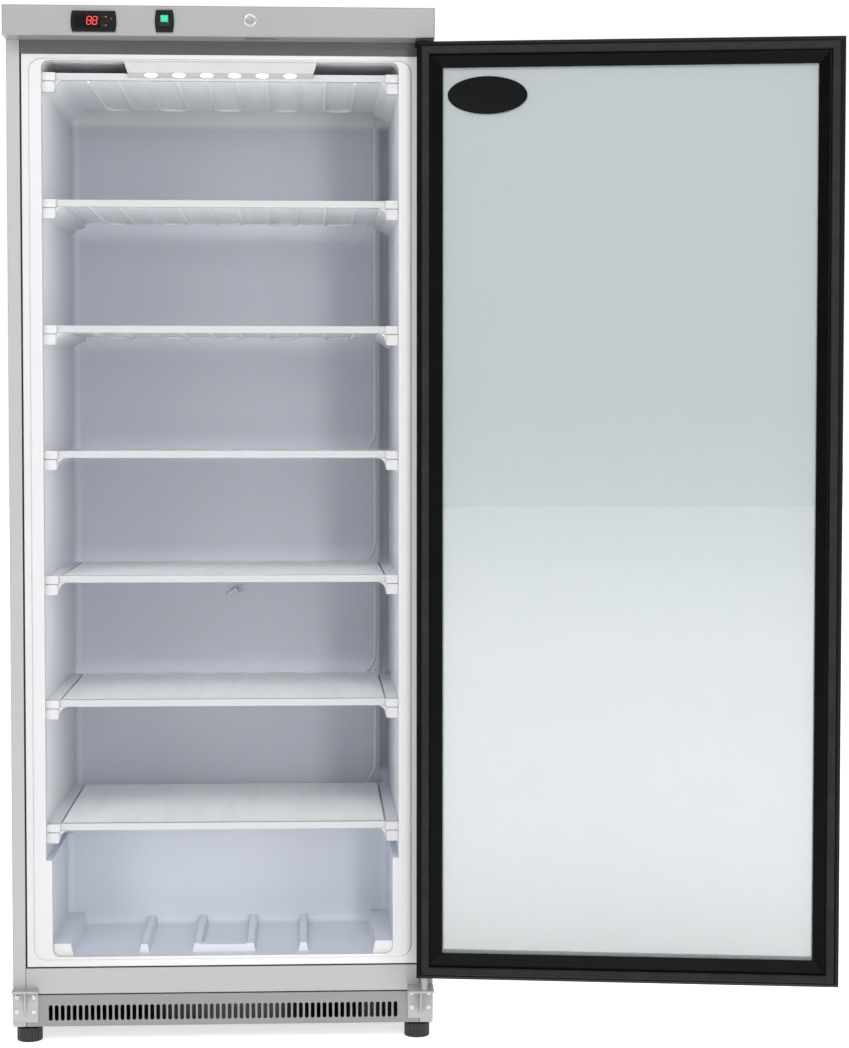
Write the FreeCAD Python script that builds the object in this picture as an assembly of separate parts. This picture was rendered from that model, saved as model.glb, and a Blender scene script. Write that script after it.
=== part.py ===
import FreeCAD, Part

import math
import os

from FreeCAD import Vector

# Upright freezer with seven cold shelves and a glass door, shown with the door standing open.
# Millimetres. X runs to the right, Y to the back, Z up. The origin is on the floor, under the middle of
# the cabinet. Heights are above the floor, and depths named *_IN are measured back from the front plane.

# ---- cabinet ----
CABINET_WIDTH = 777.0
CABINET_DEPTH = 635.0
CABINET_HEIGHT = 1895.0
FOOT_HEIGHT = 30.0
SHEET = 0.8
BEND_RADIUS = 3.0
COLUMN_WIDTH = 24.0
COLUMN_HEM = 14.0
BACK_RETURN = 18.0
ROOF_DROP = 8.0
SEAT_GAP = 0.3

# ---- front trim between the columns ----
TRIM_GAP = 1.0
SILL_BOTTOM = 91.0
PLINTH_SILL_GAP = 2.5
FLANGE_SILL_GAP = 3.0
TRIM_RETURN = 10.0
RAIL_TOP_DROP = 52.0
RAIL_TOP = CABINET_HEIGHT - RAIL_TOP_DROP
RAIL_STEP_HEIGHT = 13.0
RAIL_STEP_DEPTH = 2.0
RAIL_THICKNESS = 2.0
RAIL_DEPTH = 24.0

# ---- plinth grille ----
SLOT_COUNT = 59
SLOT_END_IN = 69.5
SLOT_PITCH = (CABINET_WIDTH - 2 * SLOT_END_IN) / (SLOT_COUNT - 1)
SLOT_WIDTH = 7.2
SLOT_HEIGHT = 28.8
SLOT_CENTRE_HEIGHT = 55.0

# ---- liner ----
LINER_WALL = 3.0
OPENING_SIDE_IN = 63.5
OPENING_WIDTH = CABINET_WIDTH - 2 * OPENING_SIDE_IN
OPENING_BOTTOM = 160.0
OPENING_TOP_DROP = 91.0
OPENING_TOP = CABINET_HEIGHT - OPENING_TOP_DROP
OPENING_RADIUS = 14.0
FLANGE_SIDE = 36.0
FLANGE_FOOT = 18.8
FLANGE_HEAD = 11.4
FLANGE_BOTTOM = OPENING_BOTTOM - FLANGE_FOOT
FLANGE_TOP = OPENING_TOP + FLANGE_HEAD
LIP_WIDTH = 23.0
LIP_HEIGHT = 3.0
LIP_HEAD = 3.0
LIP_FOOT = 6.0
CAVITY_BACK_WALL = 60.0
CAVITY_DEPTH = CABINET_DEPTH - CAVITY_BACK_WALL
HUMP_DEPTH = 290.0
HUMP_FRONT_IN = CAVITY_DEPTH - HUMP_DEPTH
LOWEST_SHELF_HEIGHT = 404.3
HUMP_SHELF_GAP = 30.3
HUMP_TOP = LOWEST_SHELF_HEIGHT - HUMP_SHELF_GAP
TUB_STEP_DROP = 34.0
TUB_STEP_HEIGHT = HUMP_TOP - TUB_STEP_DROP
TUB_STEP = 11.0
TUB_RIB_COUNT = 4
TUB_RIB_PITCH = 98.6
TUB_RIB_WIDTH = 20.0
TUB_RIB_HEIGHT = 16.0
TUB_RIB_FRONT_IN = 28.0
TUB_LEDGE_WIDTH = 38.0
TUB_LEDGE_HEIGHT = 23.0

# ---- cold shelves ----
SHELF_COUNT = 7
TOP_SHELF_DROP = 20.0
TOP_SHELF_HEIGHT = OPENING_TOP - TOP_SHELF_DROP
SHELF_PITCH = (TOP_SHELF_HEIGHT - LOWEST_SHELF_HEIGHT) / (SHELF_COUNT - 1)
BAR_HEIGHT = 13.0
BAR_DEPTH = 12.0
BAR_WALL = 1.6
BAR_FRONT_IN = 18.0
PLATE_DROP = 3.0
PLATE_THICKNESS = 2.0
PLATE_SIDE_GAP = 25.5
PLATE_WIDTH = OPENING_WIDTH - 2 * PLATE_SIDE_GAP
PLATE_BACK_GAP = 69.0
PLATE_BACK_IN = CAVITY_DEPTH - PLATE_BACK_GAP
PLATE_SLOT_COUNT = 6
PLATE_SLOT_SIDE_IN = 37.0
PLATE_SLOT_PITCH = (PLATE_WIDTH - 2 * PLATE_SLOT_SIDE_IN) / (PLATE_SLOT_COUNT - 1)
PLATE_SLOT_WIDTH = 44.0
PLATE_SLOT_DEPTH = 8.0
PLATE_SLOT_EDGE = 4.0
COIL_RADIUS = 3.0
COIL_RUNS = 10
COIL_SIDE_IN = 52.5
COIL_PITCH = (PLATE_WIDTH - 2 * COIL_SIDE_IN) / (COIL_RUNS - 1)
COIL_END_GAP = 20.0
COIL_SINK = 1.2
RAIL_LEDGE_INNER = 6.0
RAIL_LEDGE_DROP = 26.0
RAIL_GROOVE_WIDTH = 4.0
RAIL_GROOVE_DEPTH = 5.0
RAIL_LEDGE_BACK_GAP = 71.0
RAIL_LEDGE_BACK_IN = CAVITY_DEPTH - RAIL_LEDGE_BACK_GAP
CLIP_WIDTH = 22.0
CLIP_DEPTH = 14.0
CLIP_HEAD_HEIGHT = 15.0
CLIP_NECK = 1.5
CLIP_FOOT_HEIGHT = 19.0
CLIP_GUSSET = 15.0
CLIP_GUSSET_THICKNESS = 5.0

# ---- pipes and probe in the cavity ----
PIPE_RADIUS = 3.0
PIPE_SIDE_IN = 2.5
PIPE_X = PLATE_WIDTH / 2 - PIPE_SIDE_IN
PIPE_BACK_GAP = 35.0
PIPE_IN = CAVITY_DEPTH - PIPE_BACK_GAP
PIPE_SWAY = 15.0
PIPE_BEND_RISE = 24.0
PROBE_X = 10.0
PROBE_SHELF = 5
PROBE_DROP = 63.0
PROBE_HEIGHT = TOP_SHELF_HEIGHT - (PROBE_SHELF - 1) * SHELF_PITCH - PROBE_DROP
PROBE_RADIUS = 3.5
PROBE_LENGTH = 24.0

# ---- lamp ----
LAMP_SIDE_GAP = 149.0
LAMP_TOP_WIDTH = OPENING_WIDTH - 2 * LAMP_SIDE_GAP
LAMP_TAPER = 9.0
LAMP_BOTTOM_WIDTH = LAMP_TOP_WIDTH - 2 * LAMP_TAPER
LAMP_HEIGHT = 27.0
LAMP_FRONT_IN = 1.5
LAMP_DEPTH = 15.0
LAMP_SLOPE = 7.0
LAMP_LENS_COUNT = 6
LAMP_LENS_END_IN = 40.5
LAMP_LENS_PITCH = (LAMP_BOTTOM_WIDTH - 2 * LAMP_LENS_END_IN) / (LAMP_LENS_COUNT - 1)
LAMP_LENS_WIDTH = 23.0
LAMP_LENS_DEPTH = 13.0
LAMP_LENS_HEIGHT = 1.6

# ---- control panel ----
PANEL_HEIGHT = 54.5
PANEL_DEPTH = 56.0
PANEL_RADIUS = 3.0
CONTROLLER_SIDE_IN = 163.9
CONTROLLER_X = CONTROLLER_SIDE_IN - CABINET_WIDTH / 2
CONTROLLER_WIDTH = 81.5
CONTROLLER_HEIGHT = 37.3
CONTROLLER_BEZEL = 5.0
CONTROLLER_BODY_DEPTH = 40.0
CONTROLLER_DROP = 29.7
CONTROLLER_Z = CABINET_HEIGHT - CONTROLLER_DROP
CONTROL_BOW = 2.5
WINDOW_WIDTH = 46.0
WINDOW_HEIGHT = 25.0
WINDOW_SHIFT = -11.0
WINDOW_THICKNESS = 1.2
BUTTON_RADIUS = 2.6
BUTTON_X = 25.6
BUTTON_SPREAD = 7.6
BUTTON_TRAVEL = 0.8
BUTTON_CLEARANCE = 0.15
SWITCH_FROM_CONTROLLER = 126.6
SWITCH_X = CONTROLLER_X + SWITCH_FROM_CONTROLLER
SWITCH_DROP = 28.4
SWITCH_Z = CABINET_HEIGHT - SWITCH_DROP
SWITCH_WIDTH = 34.0
SWITCH_HEIGHT = 40.0
SWITCH_BEZEL = 5.0
SWITCH_BODY_DEPTH = 24.0
ROCKER_WIDTH = 19.0
ROCKER_RADIUS = 13.0
ROCKER_RISE = 4.0
ROCKER_TILT = 9.0
ROCKER_CLEARANCE = 0.4
ROCKER_SHIFT = 0.5
LOCK_FROM_SWITCH = 153.2
LOCK_X = SWITCH_X + LOCK_FROM_SWITCH
LOCK_DROP = 25.6
LOCK_Z = CABINET_HEIGHT - LOCK_DROP
LOCK_FACE_RADIUS = 11.5
LOCK_BARREL_RADIUS = 8.5
LOCK_PLUG_RADIUS = 5.5
LOCK_DEPTH = 24.0
CAM_REACH = 49.0
CAM_WIDTH = 12.0
CAM_THICKNESS = 2.5
CAM_SLOT_SPARE = 4.0
RUNNING_CLEARANCE = 0.05

# ---- door, given closed and then turned open about its pins ----
DOOR_SIDE_IN = 6.2
DOOR_WIDTH = CABINET_WIDTH - 2 * DOOR_SIDE_IN
DOOR_BOTTOM = 129.0
DOOR_TOP_DROP = 63.0
DOOR_TOP = CABINET_HEIGHT - DOOR_TOP_DROP
DOOR_THICKNESS = 50.0
DOOR_FACE_GAP = 10.0
DOOR_OPEN_ANGLE = 172.0
FRAME_WIDTH = 47.0
FRAME_LAND = 28.0
FRAME_EDGE = 6.0
FRAME_BEVEL_DEPTH = 12.0
FRAME_CHAMFER = 4.0
GLASS_LAP = 12.0
GLASS_THICKNESS = 4.0
GLASS_SPACE = 12.0
SPACER_WIDTH = 9.0
GASKET_INSET = 10.4
GASKET_WIDTH = 14.0
GASKET_GAP = 0.5
HINGE_FROM_EDGE = 11.9
HINGE_FROM_FACE = 15.0
HINGE_PIN_RADIUS = 5.8
SPIGOT_RADIUS = 4.0
SPIGOT_REACH = 18.0
PULL_HEIGHT = 29.0
PULL_ABOVE_MIDDLE = 75.0
PULL_CENTRE = (DOOR_BOTTOM + DOOR_TOP) / 2 + PULL_ABOVE_MIDDLE
PULL_THICKNESS = 3.0
PULL_STANDOFF = 1.5
PULL_LIP = 18.0
PULL_GRIP = 26.0

# ---- brackets ----
BRACKET_WIDTH = 47.0
BRACKET_BOTTOM = 38.0
BRACKET_TOP = 101.0
BRACKET_SHEET = 3.0
BRACKET_HINGE_REACH = 56.0
BRACKET_PLAIN_REACH = 25.0
SCREW_RADIUS = 4.5
SCREW_HEAD = 1.8
SCREW_SHANK = 1.9
SCREW_COLUMNS = 31.0
SCREW_ROWS = 27.0
SCREW_TOP = 85.5
UPPER_PLATE_GAP = 1.2
UPPER_PLATE_WIDTH = 34.0

# ---- feet ----
FOOT_SIDE_IN = 28.5
FOOT_X = CABINET_WIDTH / 2 - FOOT_SIDE_IN
FOOT_IN = 25.0
FOOT_RADIUS = 23.5
FOOT_NECK_RADIUS = 15.0
FOOT_NECK_HEIGHT = 4.0
FOOT_CHAMFER = 1.5
FOOT_RIBS = 24
FOOT_RIB_RADIUS = 1.6
STUD_RADIUS = 5.0
STUD_REACH = 38.0
NUT_BLOCK = 34.0
NUT_HEIGHT = 18.0

# ---- machine space ----
MACHINE_DEPTH = 307.0
MACHINE_FRONT_IN = CABINET_DEPTH - MACHINE_DEPTH
HUMP_WALL = 40.0
MACHINE_TOP = HUMP_TOP - HUMP_WALL
DUCT_TOP = 118.0
PAN_SHEET = 1.2
COMPRESSOR_SIDE_IN = 198.5
COMPRESSOR_X = CABINET_WIDTH / 2 - COMPRESSOR_SIDE_IN
COMPRESSOR_FROM_BACK = 135.0
COMPRESSOR_IN = CABINET_DEPTH - COMPRESSOR_FROM_BACK
COMPRESSOR_RADIUS = 82.0
COMPRESSOR_HEIGHT = 178.0
COMPRESSOR_FOOT = 14.0
COMPRESSOR_PLATE_WIDTH = 200.0
COMPRESSOR_PLATE_DEPTH = 120.0
COMPRESSOR_PLATE = 4.0
COMPRESSOR_FOOT_IN = 14.0
COMPRESSOR_FOOT_RADIUS = 11.0
COMPRESSOR_SEAM = 4.0
COMPRESSOR_SEAM_HEIGHT = 5.0
CONDENSER_SIDE_IN = 198.5
CONDENSER_X = CONDENSER_SIDE_IN - CABINET_WIDTH / 2
CONDENSER_WIDTH = 260.0
CONDENSER_HEIGHT = 230.0
CONDENSER_DEPTH = 56.0
CONDENSER_FROM_BACK = 290.0
CONDENSER_IN = CABINET_DEPTH - CONDENSER_FROM_BACK
FIN_COUNT = 26
FIN_THICKNESS = 1.0
FAN_RADIUS = 98.0
FAN_HUB_RADIUS = 22.0
FAN_BLADES = 5
FAN_DEPTH = 22.0
FAN_GAP = 8.0
FAN_MOTOR_RADIUS = 34.0
FAN_MOTOR_LENGTH = 52.0
FAN_SHAFT_RADIUS = 4.0
REAR_COVER_LOUVRES = 9
GLAND_RADIUS = 9.0
GLAND_SIDE_IN = 68.5
GLAND_X = GLAND_SIDE_IN - CABINET_WIDTH / 2
GLAND_Z = 90.0

# ---- places that follow from the sizes above ----
FRONT = -CABINET_DEPTH / 2
BACK = CABINET_DEPTH / 2
SIDE = CABINET_WIDTH / 2
COLUMN_INNER = SIDE - COLUMN_WIDTH
TRIM_HALF = COLUMN_INNER - TRIM_GAP
ROOF = CABINET_HEIGHT - 2 * SHEET
INNER_HALF = SIDE - BEND_RADIUS
OPENING_HALF = OPENING_WIDTH / 2
TUB_HALF = OPENING_HALF - TUB_STEP
PANEL_BOTTOM = CABINET_HEIGHT - PANEL_HEIGHT
PANEL_FRONT = FRONT - PANEL_DEPTH
DOOR_HALF = DOOR_WIDTH / 2
DOOR_INNER = FRONT - DOOR_FACE_GAP
DOOR_OUTER = DOOR_INNER - DOOR_THICKNESS
HINGE_X = DOOR_HALF - HINGE_FROM_EDGE
HINGE_Y = DOOR_OUTER + HINGE_FROM_FACE
GLASS_START = FRAME_BEVEL_DEPTH + 2.0
GLASS_STACK = 2 * GLASS_THICKNESS + GLASS_SPACE
GLASS_EDGE = FRAME_WIDTH - GLASS_LAP
PLATE_HALF = PLATE_WIDTH / 2
CLIP_INNER = OPENING_HALF - 2.0 - CLIP_WIDTH
PAN_TOP = FOOT_HEIGHT + PAN_SHEET
FAN_Z = PAN_TOP + CONDENSER_HEIGHT / 2
FAN_START = FRONT + CONDENSER_IN + CONDENSER_DEPTH + FAN_GAP


def box(x0, x1, y0, y1, z0, z1):
    """Block between two corners."""
    return Part.makeBox(x1 - x0, y1 - y0, z1 - z0, Vector(x0, y0, z0))


def rod(radius, start, direction, length):
    """Round bar from a start point."""
    return Part.makeCylinder(radius, length, start, direction)


def prism(points, vector):
    """Closed outline pushed along a vector."""
    outline = Part.makePolygon([Vector(*p) for p in points + points[:1]])
    return Part.Face(outline).extrude(vector)


def fused(shapes):
    """One clean solid out of several that meet."""
    first = shapes[0]
    return first.multiFuse(shapes[1:]).removeSplitter() if len(shapes) > 1 else first


def mirrored(shape):
    """The same shape on the other side of the middle plane."""
    return shape.mirror(Vector(0, 0, 0), Vector(1, 0, 0))


def edges_where(shape, test):
    """Edges whose two end points and middle pass a test."""
    found = []
    for edge in shape.Edges:
        middle = edge.valueAt((edge.FirstParameter + edge.LastParameter) / 2)
        if all(test(p) for p in [v.Point for v in edge.Vertexes] + [middle]):
            found.append(edge)
    return found


def rounded_plate(half_x, x, z, height, y0, y1, radius):
    """Plate in an XZ plane with rounded corners, from y0 back to y1."""
    plate = box(x - half_x, x + half_x, y0, y1, z - height / 2, z + height / 2)
    corners = [e for e in plate.Edges if abs(e.tangentAt(e.FirstParameter).y) > 0.9]
    return plate.makeFillet(radius, corners)


def bowed_plate(x, z, width, height, bow, y0, y1):
    """Plate in an XZ plane whose left and right sides swell outwards."""
    half, tall = width / 2 - bow, height / 2
    top_left, top_right = Vector(x - half, y0, z + tall), Vector(x + half, y0, z + tall)
    low_left, low_right = Vector(x - half, y0, z - tall), Vector(x + half, y0, z - tall)
    right_side = Part.Arc(top_right, Vector(x + width / 2, y0, z), low_right).toShape()
    left_side = Part.Arc(low_left, Vector(x - width / 2, y0, z), top_left).toShape()
    top_side = Part.makeLine(top_left, top_right)
    low_side = Part.makeLine(low_right, low_left)
    outline = Part.Wire([top_side, right_side, low_side, left_side])
    return Part.Face(outline).extrude(Vector(0, y1 - y0, 0))


# ---- outer casing ----
def side_panel():
    """Right side sheet with the front column folded in and a return at the back."""
    outer = box(COLUMN_INNER, SIDE, FRONT, BACK, FOOT_HEIGHT, ROOF)
    corners = edges_where(outer, lambda p: p.x > SIDE - 0.01 and abs(abs(p.y) - BACK) < 0.01)
    outer = outer.makeFillet(BEND_RADIUS, corners)
    inner = box(COLUMN_INNER - 1, SIDE - SHEET, FRONT + SHEET, BACK - SHEET, FOOT_HEIGHT, ROOF)
    bends = edges_where(inner, lambda p: p.x > SIDE - SHEET - 0.01)
    bends = [e for e in bends if abs(e.tangentAt(e.FirstParameter).z) > 0.9]
    inner = inner.makeFillet(BEND_RADIUS - SHEET, bends)
    trim = box(COLUMN_INNER - 1, SIDE - BACK_RETURN, BACK - 2 * SHEET, BACK + 1, FOOT_HEIGHT, ROOF)
    hem = box(COLUMN_INNER, COLUMN_INNER + SHEET, FRONT, FRONT + COLUMN_HEM, FOOT_HEIGHT, ROOF)
    return fused([outer.cut(inner).cut(trim), hem])


def top_cover():
    """Roof sheet with its edges turned down inside the walls."""
    edge = SIDE - SHEET
    back = BACK - BEND_RADIUS - SEAT_GAP
    roof = box(-SIDE, SIDE, FRONT, BACK, ROOF, ROOF + SHEET)
    skirts = [box(-edge, -edge + SHEET, FRONT + COLUMN_HEM, back, ROOF - ROOF_DROP, ROOF)]
    skirts.append(box(edge - SHEET, edge, FRONT + COLUMN_HEM, back, ROOF - ROOF_DROP, ROOF))
    return fused([roof] + skirts)


def back_panel():
    """Back sheet above the machine space."""
    half = INNER_HALF
    sheet = box(-half, half, BACK - 2 * SHEET, BACK - SHEET, MACHINE_TOP, ROOF)
    foot = box(-half, half, BACK - 12.0, BACK - SHEET, MACHINE_TOP, MACHINE_TOP + SHEET)
    return fused([sheet, foot])


def rear_cover():
    """Louvred sheet over the machine space."""
    half = INNER_HALF
    top = MACHINE_TOP - 1.0
    sheet = box(-half, half, BACK - 2 * SHEET, BACK - SHEET, PAN_TOP, top)
    pitch = (top - PAN_TOP - 40.0) / REAR_COVER_LOUVRES
    for i in range(REAR_COVER_LOUVRES):
        z = PAN_TOP + 20.0 + pitch * (i + 0.5)
        slot = rounded_plate(half * 0.62, 60.0, z, pitch * 0.36, BACK - 3.0, BACK, pitch * 0.17)
        sheet = sheet.cut(slot)
    hole = rod(GLAND_RADIUS - 2.0, Vector(GLAND_X, BACK - 5, GLAND_Z), Vector(0, 1, 0), 10)
    return sheet.cut(hole)


def cable_gland():
    """Round cable entry in the rear cover, with an empty bore."""
    face = BACK - SHEET
    axis = Vector(0, 1, 0)
    flange = rod(GLAND_RADIUS, Vector(GLAND_X, face, GLAND_Z), axis, 2.5)
    neck = rod(GLAND_RADIUS - 2.0 - RUNNING_CLEARANCE, Vector(GLAND_X, face - 9, GLAND_Z), axis, 9)
    bore = rod(GLAND_RADIUS - 4.5, Vector(GLAND_X, face - 10, GLAND_Z), axis, 20)
    return fused([flange, neck]).cut(bore)


def top_rail():
    """Steel rail across the head of the front, between the columns."""
    base = FLANGE_TOP + SEAT_GAP
    step = RAIL_TOP - RAIL_STEP_HEIGHT
    face = FRONT + RAIL_STEP_DEPTH
    rear = FRONT + RAIL_DEPTH
    outline = [
        (FRONT, step),
        (FRONT, RAIL_TOP),
        (rear, RAIL_TOP),
        (rear, RAIL_TOP - RAIL_THICKNESS),
        (face, RAIL_TOP - RAIL_THICKNESS),
        (face, step + RAIL_THICKNESS),
        (face + RAIL_THICKNESS, step),
        (face + RAIL_THICKNESS, base + RAIL_THICKNESS),
        (face + TRIM_RETURN, base + RAIL_THICKNESS),
        (face + TRIM_RETURN, base),
        (face, base),
        (face, step),
    ]
    shifted = [(-TRIM_HALF, y, z) for y, z in outline]
    rail = prism(shifted, Vector(2 * TRIM_HALF, 0, 0))
    upstand = box(-TRIM_HALF, TRIM_HALF, rear - RAIL_THICKNESS, rear, RAIL_TOP - RAIL_THICKNESS, ROOF)
    return fused([rail, upstand])


def folded_front(z0, z1):
    """Flat front sheet between the columns with a return along its top and bottom."""
    rear = FRONT + TRIM_RETURN
    face = box(-TRIM_HALF, TRIM_HALF, FRONT, FRONT + SHEET, z0, z1)
    low = box(-TRIM_HALF, TRIM_HALF, FRONT, rear, z0, z0 + SHEET)
    top = box(-TRIM_HALF, TRIM_HALF, FRONT, rear, z1 - SHEET, z1)
    return fused([face, low, top])


def plinth_grille():
    """Plinth sheet with its row of round-ended air slots."""
    panel = folded_front(FOOT_HEIGHT, SILL_BOTTOM - PLINTH_SILL_GAP)
    slots = []
    for i in range(SLOT_COUNT):
        x = (i - (SLOT_COUNT - 1) / 2) * SLOT_PITCH
        radius = SLOT_WIDTH / 2 * 0.98
        slots.append(rounded_plate(SLOT_WIDTH / 2, x, SLOT_CENTRE_HEIGHT, SLOT_HEIGHT,
                                   FRONT - 1, FRONT + 2, radius))
    return panel.cut(Part.makeCompound(slots))


def base_pan():
    """Floor of the machine space, with a nut block over each foot."""
    half = SIDE - SHEET
    front = FRONT + COLUMN_HEM
    rear = BACK - 2 * SHEET
    pan = box(-half, half, front, rear, FOOT_HEIGHT, PAN_TOP)
    corners = edges_where(pan, lambda p: p.y > rear - 0.01 and abs(p.x) > half - 0.01)
    pan = pan.makeChamfer(BEND_RADIUS, corners)
    blocks = [pan]
    for x, y in foot_places():
        reach = NUT_BLOCK / 2
        blocks.append(box(max(x - reach, -half), min(x + reach, half), max(y - reach, front), y + reach,
                          FOOT_HEIGHT, PAN_TOP + NUT_HEIGHT))
    solid = fused(blocks)
    for x, y in foot_places():
        depth = PAN_TOP + 2 * NUT_HEIGHT
        hole = rod(STUD_RADIUS + RUNNING_CLEARANCE, Vector(x, y, 0), Vector(0, 0, 1), depth)
        solid = solid.cut(hole)
    return solid


# ---- liner and insulation ----
def softened(block, radius, sides):
    """Block with the edges rounded where two of the named sides meet."""
    limits = block.BoundBox
    near = {
        "side": lambda p: min(p.x - limits.XMin, limits.XMax - p.x) < 0.01,
        "back": lambda p: limits.YMax - p.y < 0.01,
        "top": lambda p: limits.ZMax - p.z < 0.01,
        "floor": lambda p: p.z - limits.ZMin < 0.01,
    }
    chosen = []
    for edge in block.Edges:
        middle = edge.valueAt((edge.FirstParameter + edge.LastParameter) / 2)
        if sum(near[side](middle) for side in sides) == 2:
            chosen.append(edge)
    return block.makeFillet(radius, chosen)


def hollow(grow):
    """Space inside the liner, grown outwards by a wall."""
    front = FRONT - 5.0
    back = FRONT + CAVITY_DEPTH + grow
    half = OPENING_HALF + grow
    radius = OPENING_RADIUS + grow
    room = box(-half, half, front, back, HUMP_TOP - grow, OPENING_TOP + grow)
    room = softened(room, radius, ("side", "back", "top"))
    step_back = FRONT + HUMP_FRONT_IN + grow
    step = box(-half, half, front, step_back, TUB_STEP_HEIGHT - grow, HUMP_TOP + 60.0)
    tub_half = TUB_HALF + grow
    tub = box(-tub_half, tub_half, front, step_back, OPENING_BOTTOM - grow, TUB_STEP_HEIGHT + 20.0)
    tub = softened(tub, radius, ("side", "back", "floor"))
    return fused([room, step, tub])


def shelf_heights():
    """Height of the top of each shelf's front bar, from the top shelf down."""
    return [TOP_SHELF_HEIGHT - i * SHELF_PITCH for i in range(SHELF_COUNT)]


def shelf_ledges():
    """Moulded ledges that carry the shelf plates along both walls."""
    ledges = []
    for top in shelf_heights():
        rest = top - PLATE_DROP - PLATE_THICKNESS
        groove_low = rest - RAIL_GROOVE_DEPTH
        outline = [
            (OPENING_HALF + 1, top - PLATE_DROP),
            (PLATE_HALF + RAIL_GROOVE_WIDTH, top - PLATE_DROP),
            (PLATE_HALF + RAIL_GROOVE_WIDTH, groove_low),
            (PLATE_HALF, groove_low),
            (PLATE_HALF, rest),
            (PLATE_HALF - RAIL_LEDGE_INNER, rest),
            (PLATE_HALF - RAIL_LEDGE_INNER, groove_low - 3),
            (PLATE_HALF + 8, groove_low - 8),
            (OPENING_HALF + 1, rest - RAIL_LEDGE_DROP),
        ]
        start = FRONT + BAR_FRONT_IN + BAR_DEPTH + 4.0
        length = RAIL_LEDGE_BACK_IN - BAR_FRONT_IN - BAR_DEPTH - 4.0
        right = prism([(x, start, z) for x, z in outline], Vector(0, length, 0))
        ledges += [right, mirrored(right)]
    return ledges


def tub_details():
    """Floor ribs, the low bar between the middle two, and the raised corners of the bottom tub."""
    start = FRONT + TUB_RIB_FRONT_IN
    end = FRONT + HUMP_FRONT_IN + 1
    floor = OPENING_BOTTOM - 1
    top = OPENING_BOTTOM + TUB_RIB_HEIGHT
    pieces = []
    for i in range(TUB_RIB_COUNT):
        x = (i - (TUB_RIB_COUNT - 1) / 2) * TUB_RIB_PITCH
        half = TUB_RIB_WIDTH / 2
        outline = [(x - half, start, floor), (x + half, start, floor), (x + half - 4, start, top),
                   (x - half + 4, start, top)]
        pieces.append(prism(outline, Vector(0, end - start, 0)))
    reach = TUB_RIB_PITCH / 2 + TUB_RIB_WIDTH / 2
    bar = [(-reach, start, floor), (reach, start, floor), (reach - 12, start, top - 2),
           (-reach + 12, start, top - 2)]
    pieces.append(prism(bar, Vector(0, 24.0, 0)))
    ledge_inner = TUB_HALF - TUB_LEDGE_WIDTH
    ledge_top = OPENING_BOTTOM + TUB_LEDGE_HEIGHT
    corner = [(TUB_HALF + 1, FRONT + 5, floor), (ledge_inner, FRONT + 5, floor),
              (ledge_inner + 6, FRONT + 5, ledge_top), (TUB_HALF + 1, FRONT + 5, ledge_top)]
    right = prism(corner, Vector(0, HUMP_FRONT_IN - 4, 0))
    return pieces + [right, mirrored(right)]


def inner_liner():
    """Vacuum-formed liner: cavity, front flange, raised lip, shelf ledges and floor ribs."""
    wall_front = box(-SIDE, SIDE, FRONT - 20.0, FRONT, 0, CABINET_HEIGHT)
    shell = hollow(LINER_WALL).cut(wall_front)
    half = OPENING_HALF + FLANGE_SIDE
    flange = box(-half, half, FRONT, FRONT + LINER_WALL, FLANGE_BOTTOM, FLANGE_TOP)
    lip_half = OPENING_HALF + LIP_WIDTH
    lip_low = OPENING_BOTTOM - LIP_FOOT
    lip_high = OPENING_TOP + LIP_HEAD
    middle = (lip_low + lip_high) / 2
    lip = rounded_plate(lip_half, 0, middle, lip_high - lip_low, FRONT - LIP_HEIGHT, FRONT + 1, LIP_WIDTH)
    front_edges = [e for e in lip.Edges if all(v.Point.y < FRONT - LIP_HEIGHT + 0.01 for v in e.Vertexes)]
    lip = lip.makeFillet(LIP_HEIGHT * 0.8, front_edges)
    liner = fused([shell, flange, lip]).cut(hollow(0.0))
    details = Part.makeCompound(shelf_ledges() + tub_details()).common(hollow(LINER_WALL / 2))
    return fused([liner] + details.Solids)


def foam_insulation():
    """Rigid foam between the casing and the liner."""
    half = SIDE - SHEET
    front = FRONT + LINER_WALL
    block = box(-half, half, front, BACK - 2 * SHEET, DUCT_TOP, ROOF - ROOF_DROP - 1.0)
    rear_space = box(-SIDE, SIDE, FRONT + MACHINE_FRONT_IN, BACK + 1, 0, MACHINE_TOP + SHEET)
    hem = box(COLUMN_INNER - SEAT_GAP, SIDE, FRONT, FRONT + COLUMN_HEM, 0, CABINET_HEIGHT)
    rail_room = box(-SIDE, SIDE, FRONT, FRONT + RAIL_DEPTH, FLANGE_TOP, CABINET_HEIGHT)
    sill_room = box(-SIDE, SIDE, FRONT, FRONT + TRIM_RETURN + 1.0, 0, FLANGE_BOTTOM)
    back_fold = box(-SIDE, SIDE, BACK - 12.5, BACK, 0, MACHINE_TOP + SHEET)
    foam = block.cut(hollow(LINER_WALL)).cut(rear_space).cut(hem).cut(mirrored(hem))
    side_round = []
    for sign in (1, -1):
        edge = Part.makeBox(6, 6, CABINET_HEIGHT, Vector(sign * half - 3, BACK - 2 * SHEET - 3, 0))
        side_round.append(edge)
    return foam.cut(rail_room).cut(sill_room).cut(back_fold).cut(Part.makeCompound(side_round))


# ---- shelves ----
def shelf_bar(top):
    """White channel along the front edge of a shelf."""
    end = CLIP_INNER
    front = FRONT + BAR_FRONT_IN
    outer = box(-end, end, front, front + BAR_DEPTH, top - BAR_HEIGHT, top)
    long_edges = edges_where(outer, lambda p: p.y < front + 0.01)
    long_edges = [e for e in long_edges if e.Length > 100]
    outer = outer.makeFillet(1.2, long_edges)
    slot = box(-end, end, front + BAR_WALL, front + BAR_DEPTH + 1,
               top - BAR_HEIGHT + BAR_WALL, top - BAR_WALL)
    return outer.cut(slot)


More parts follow.
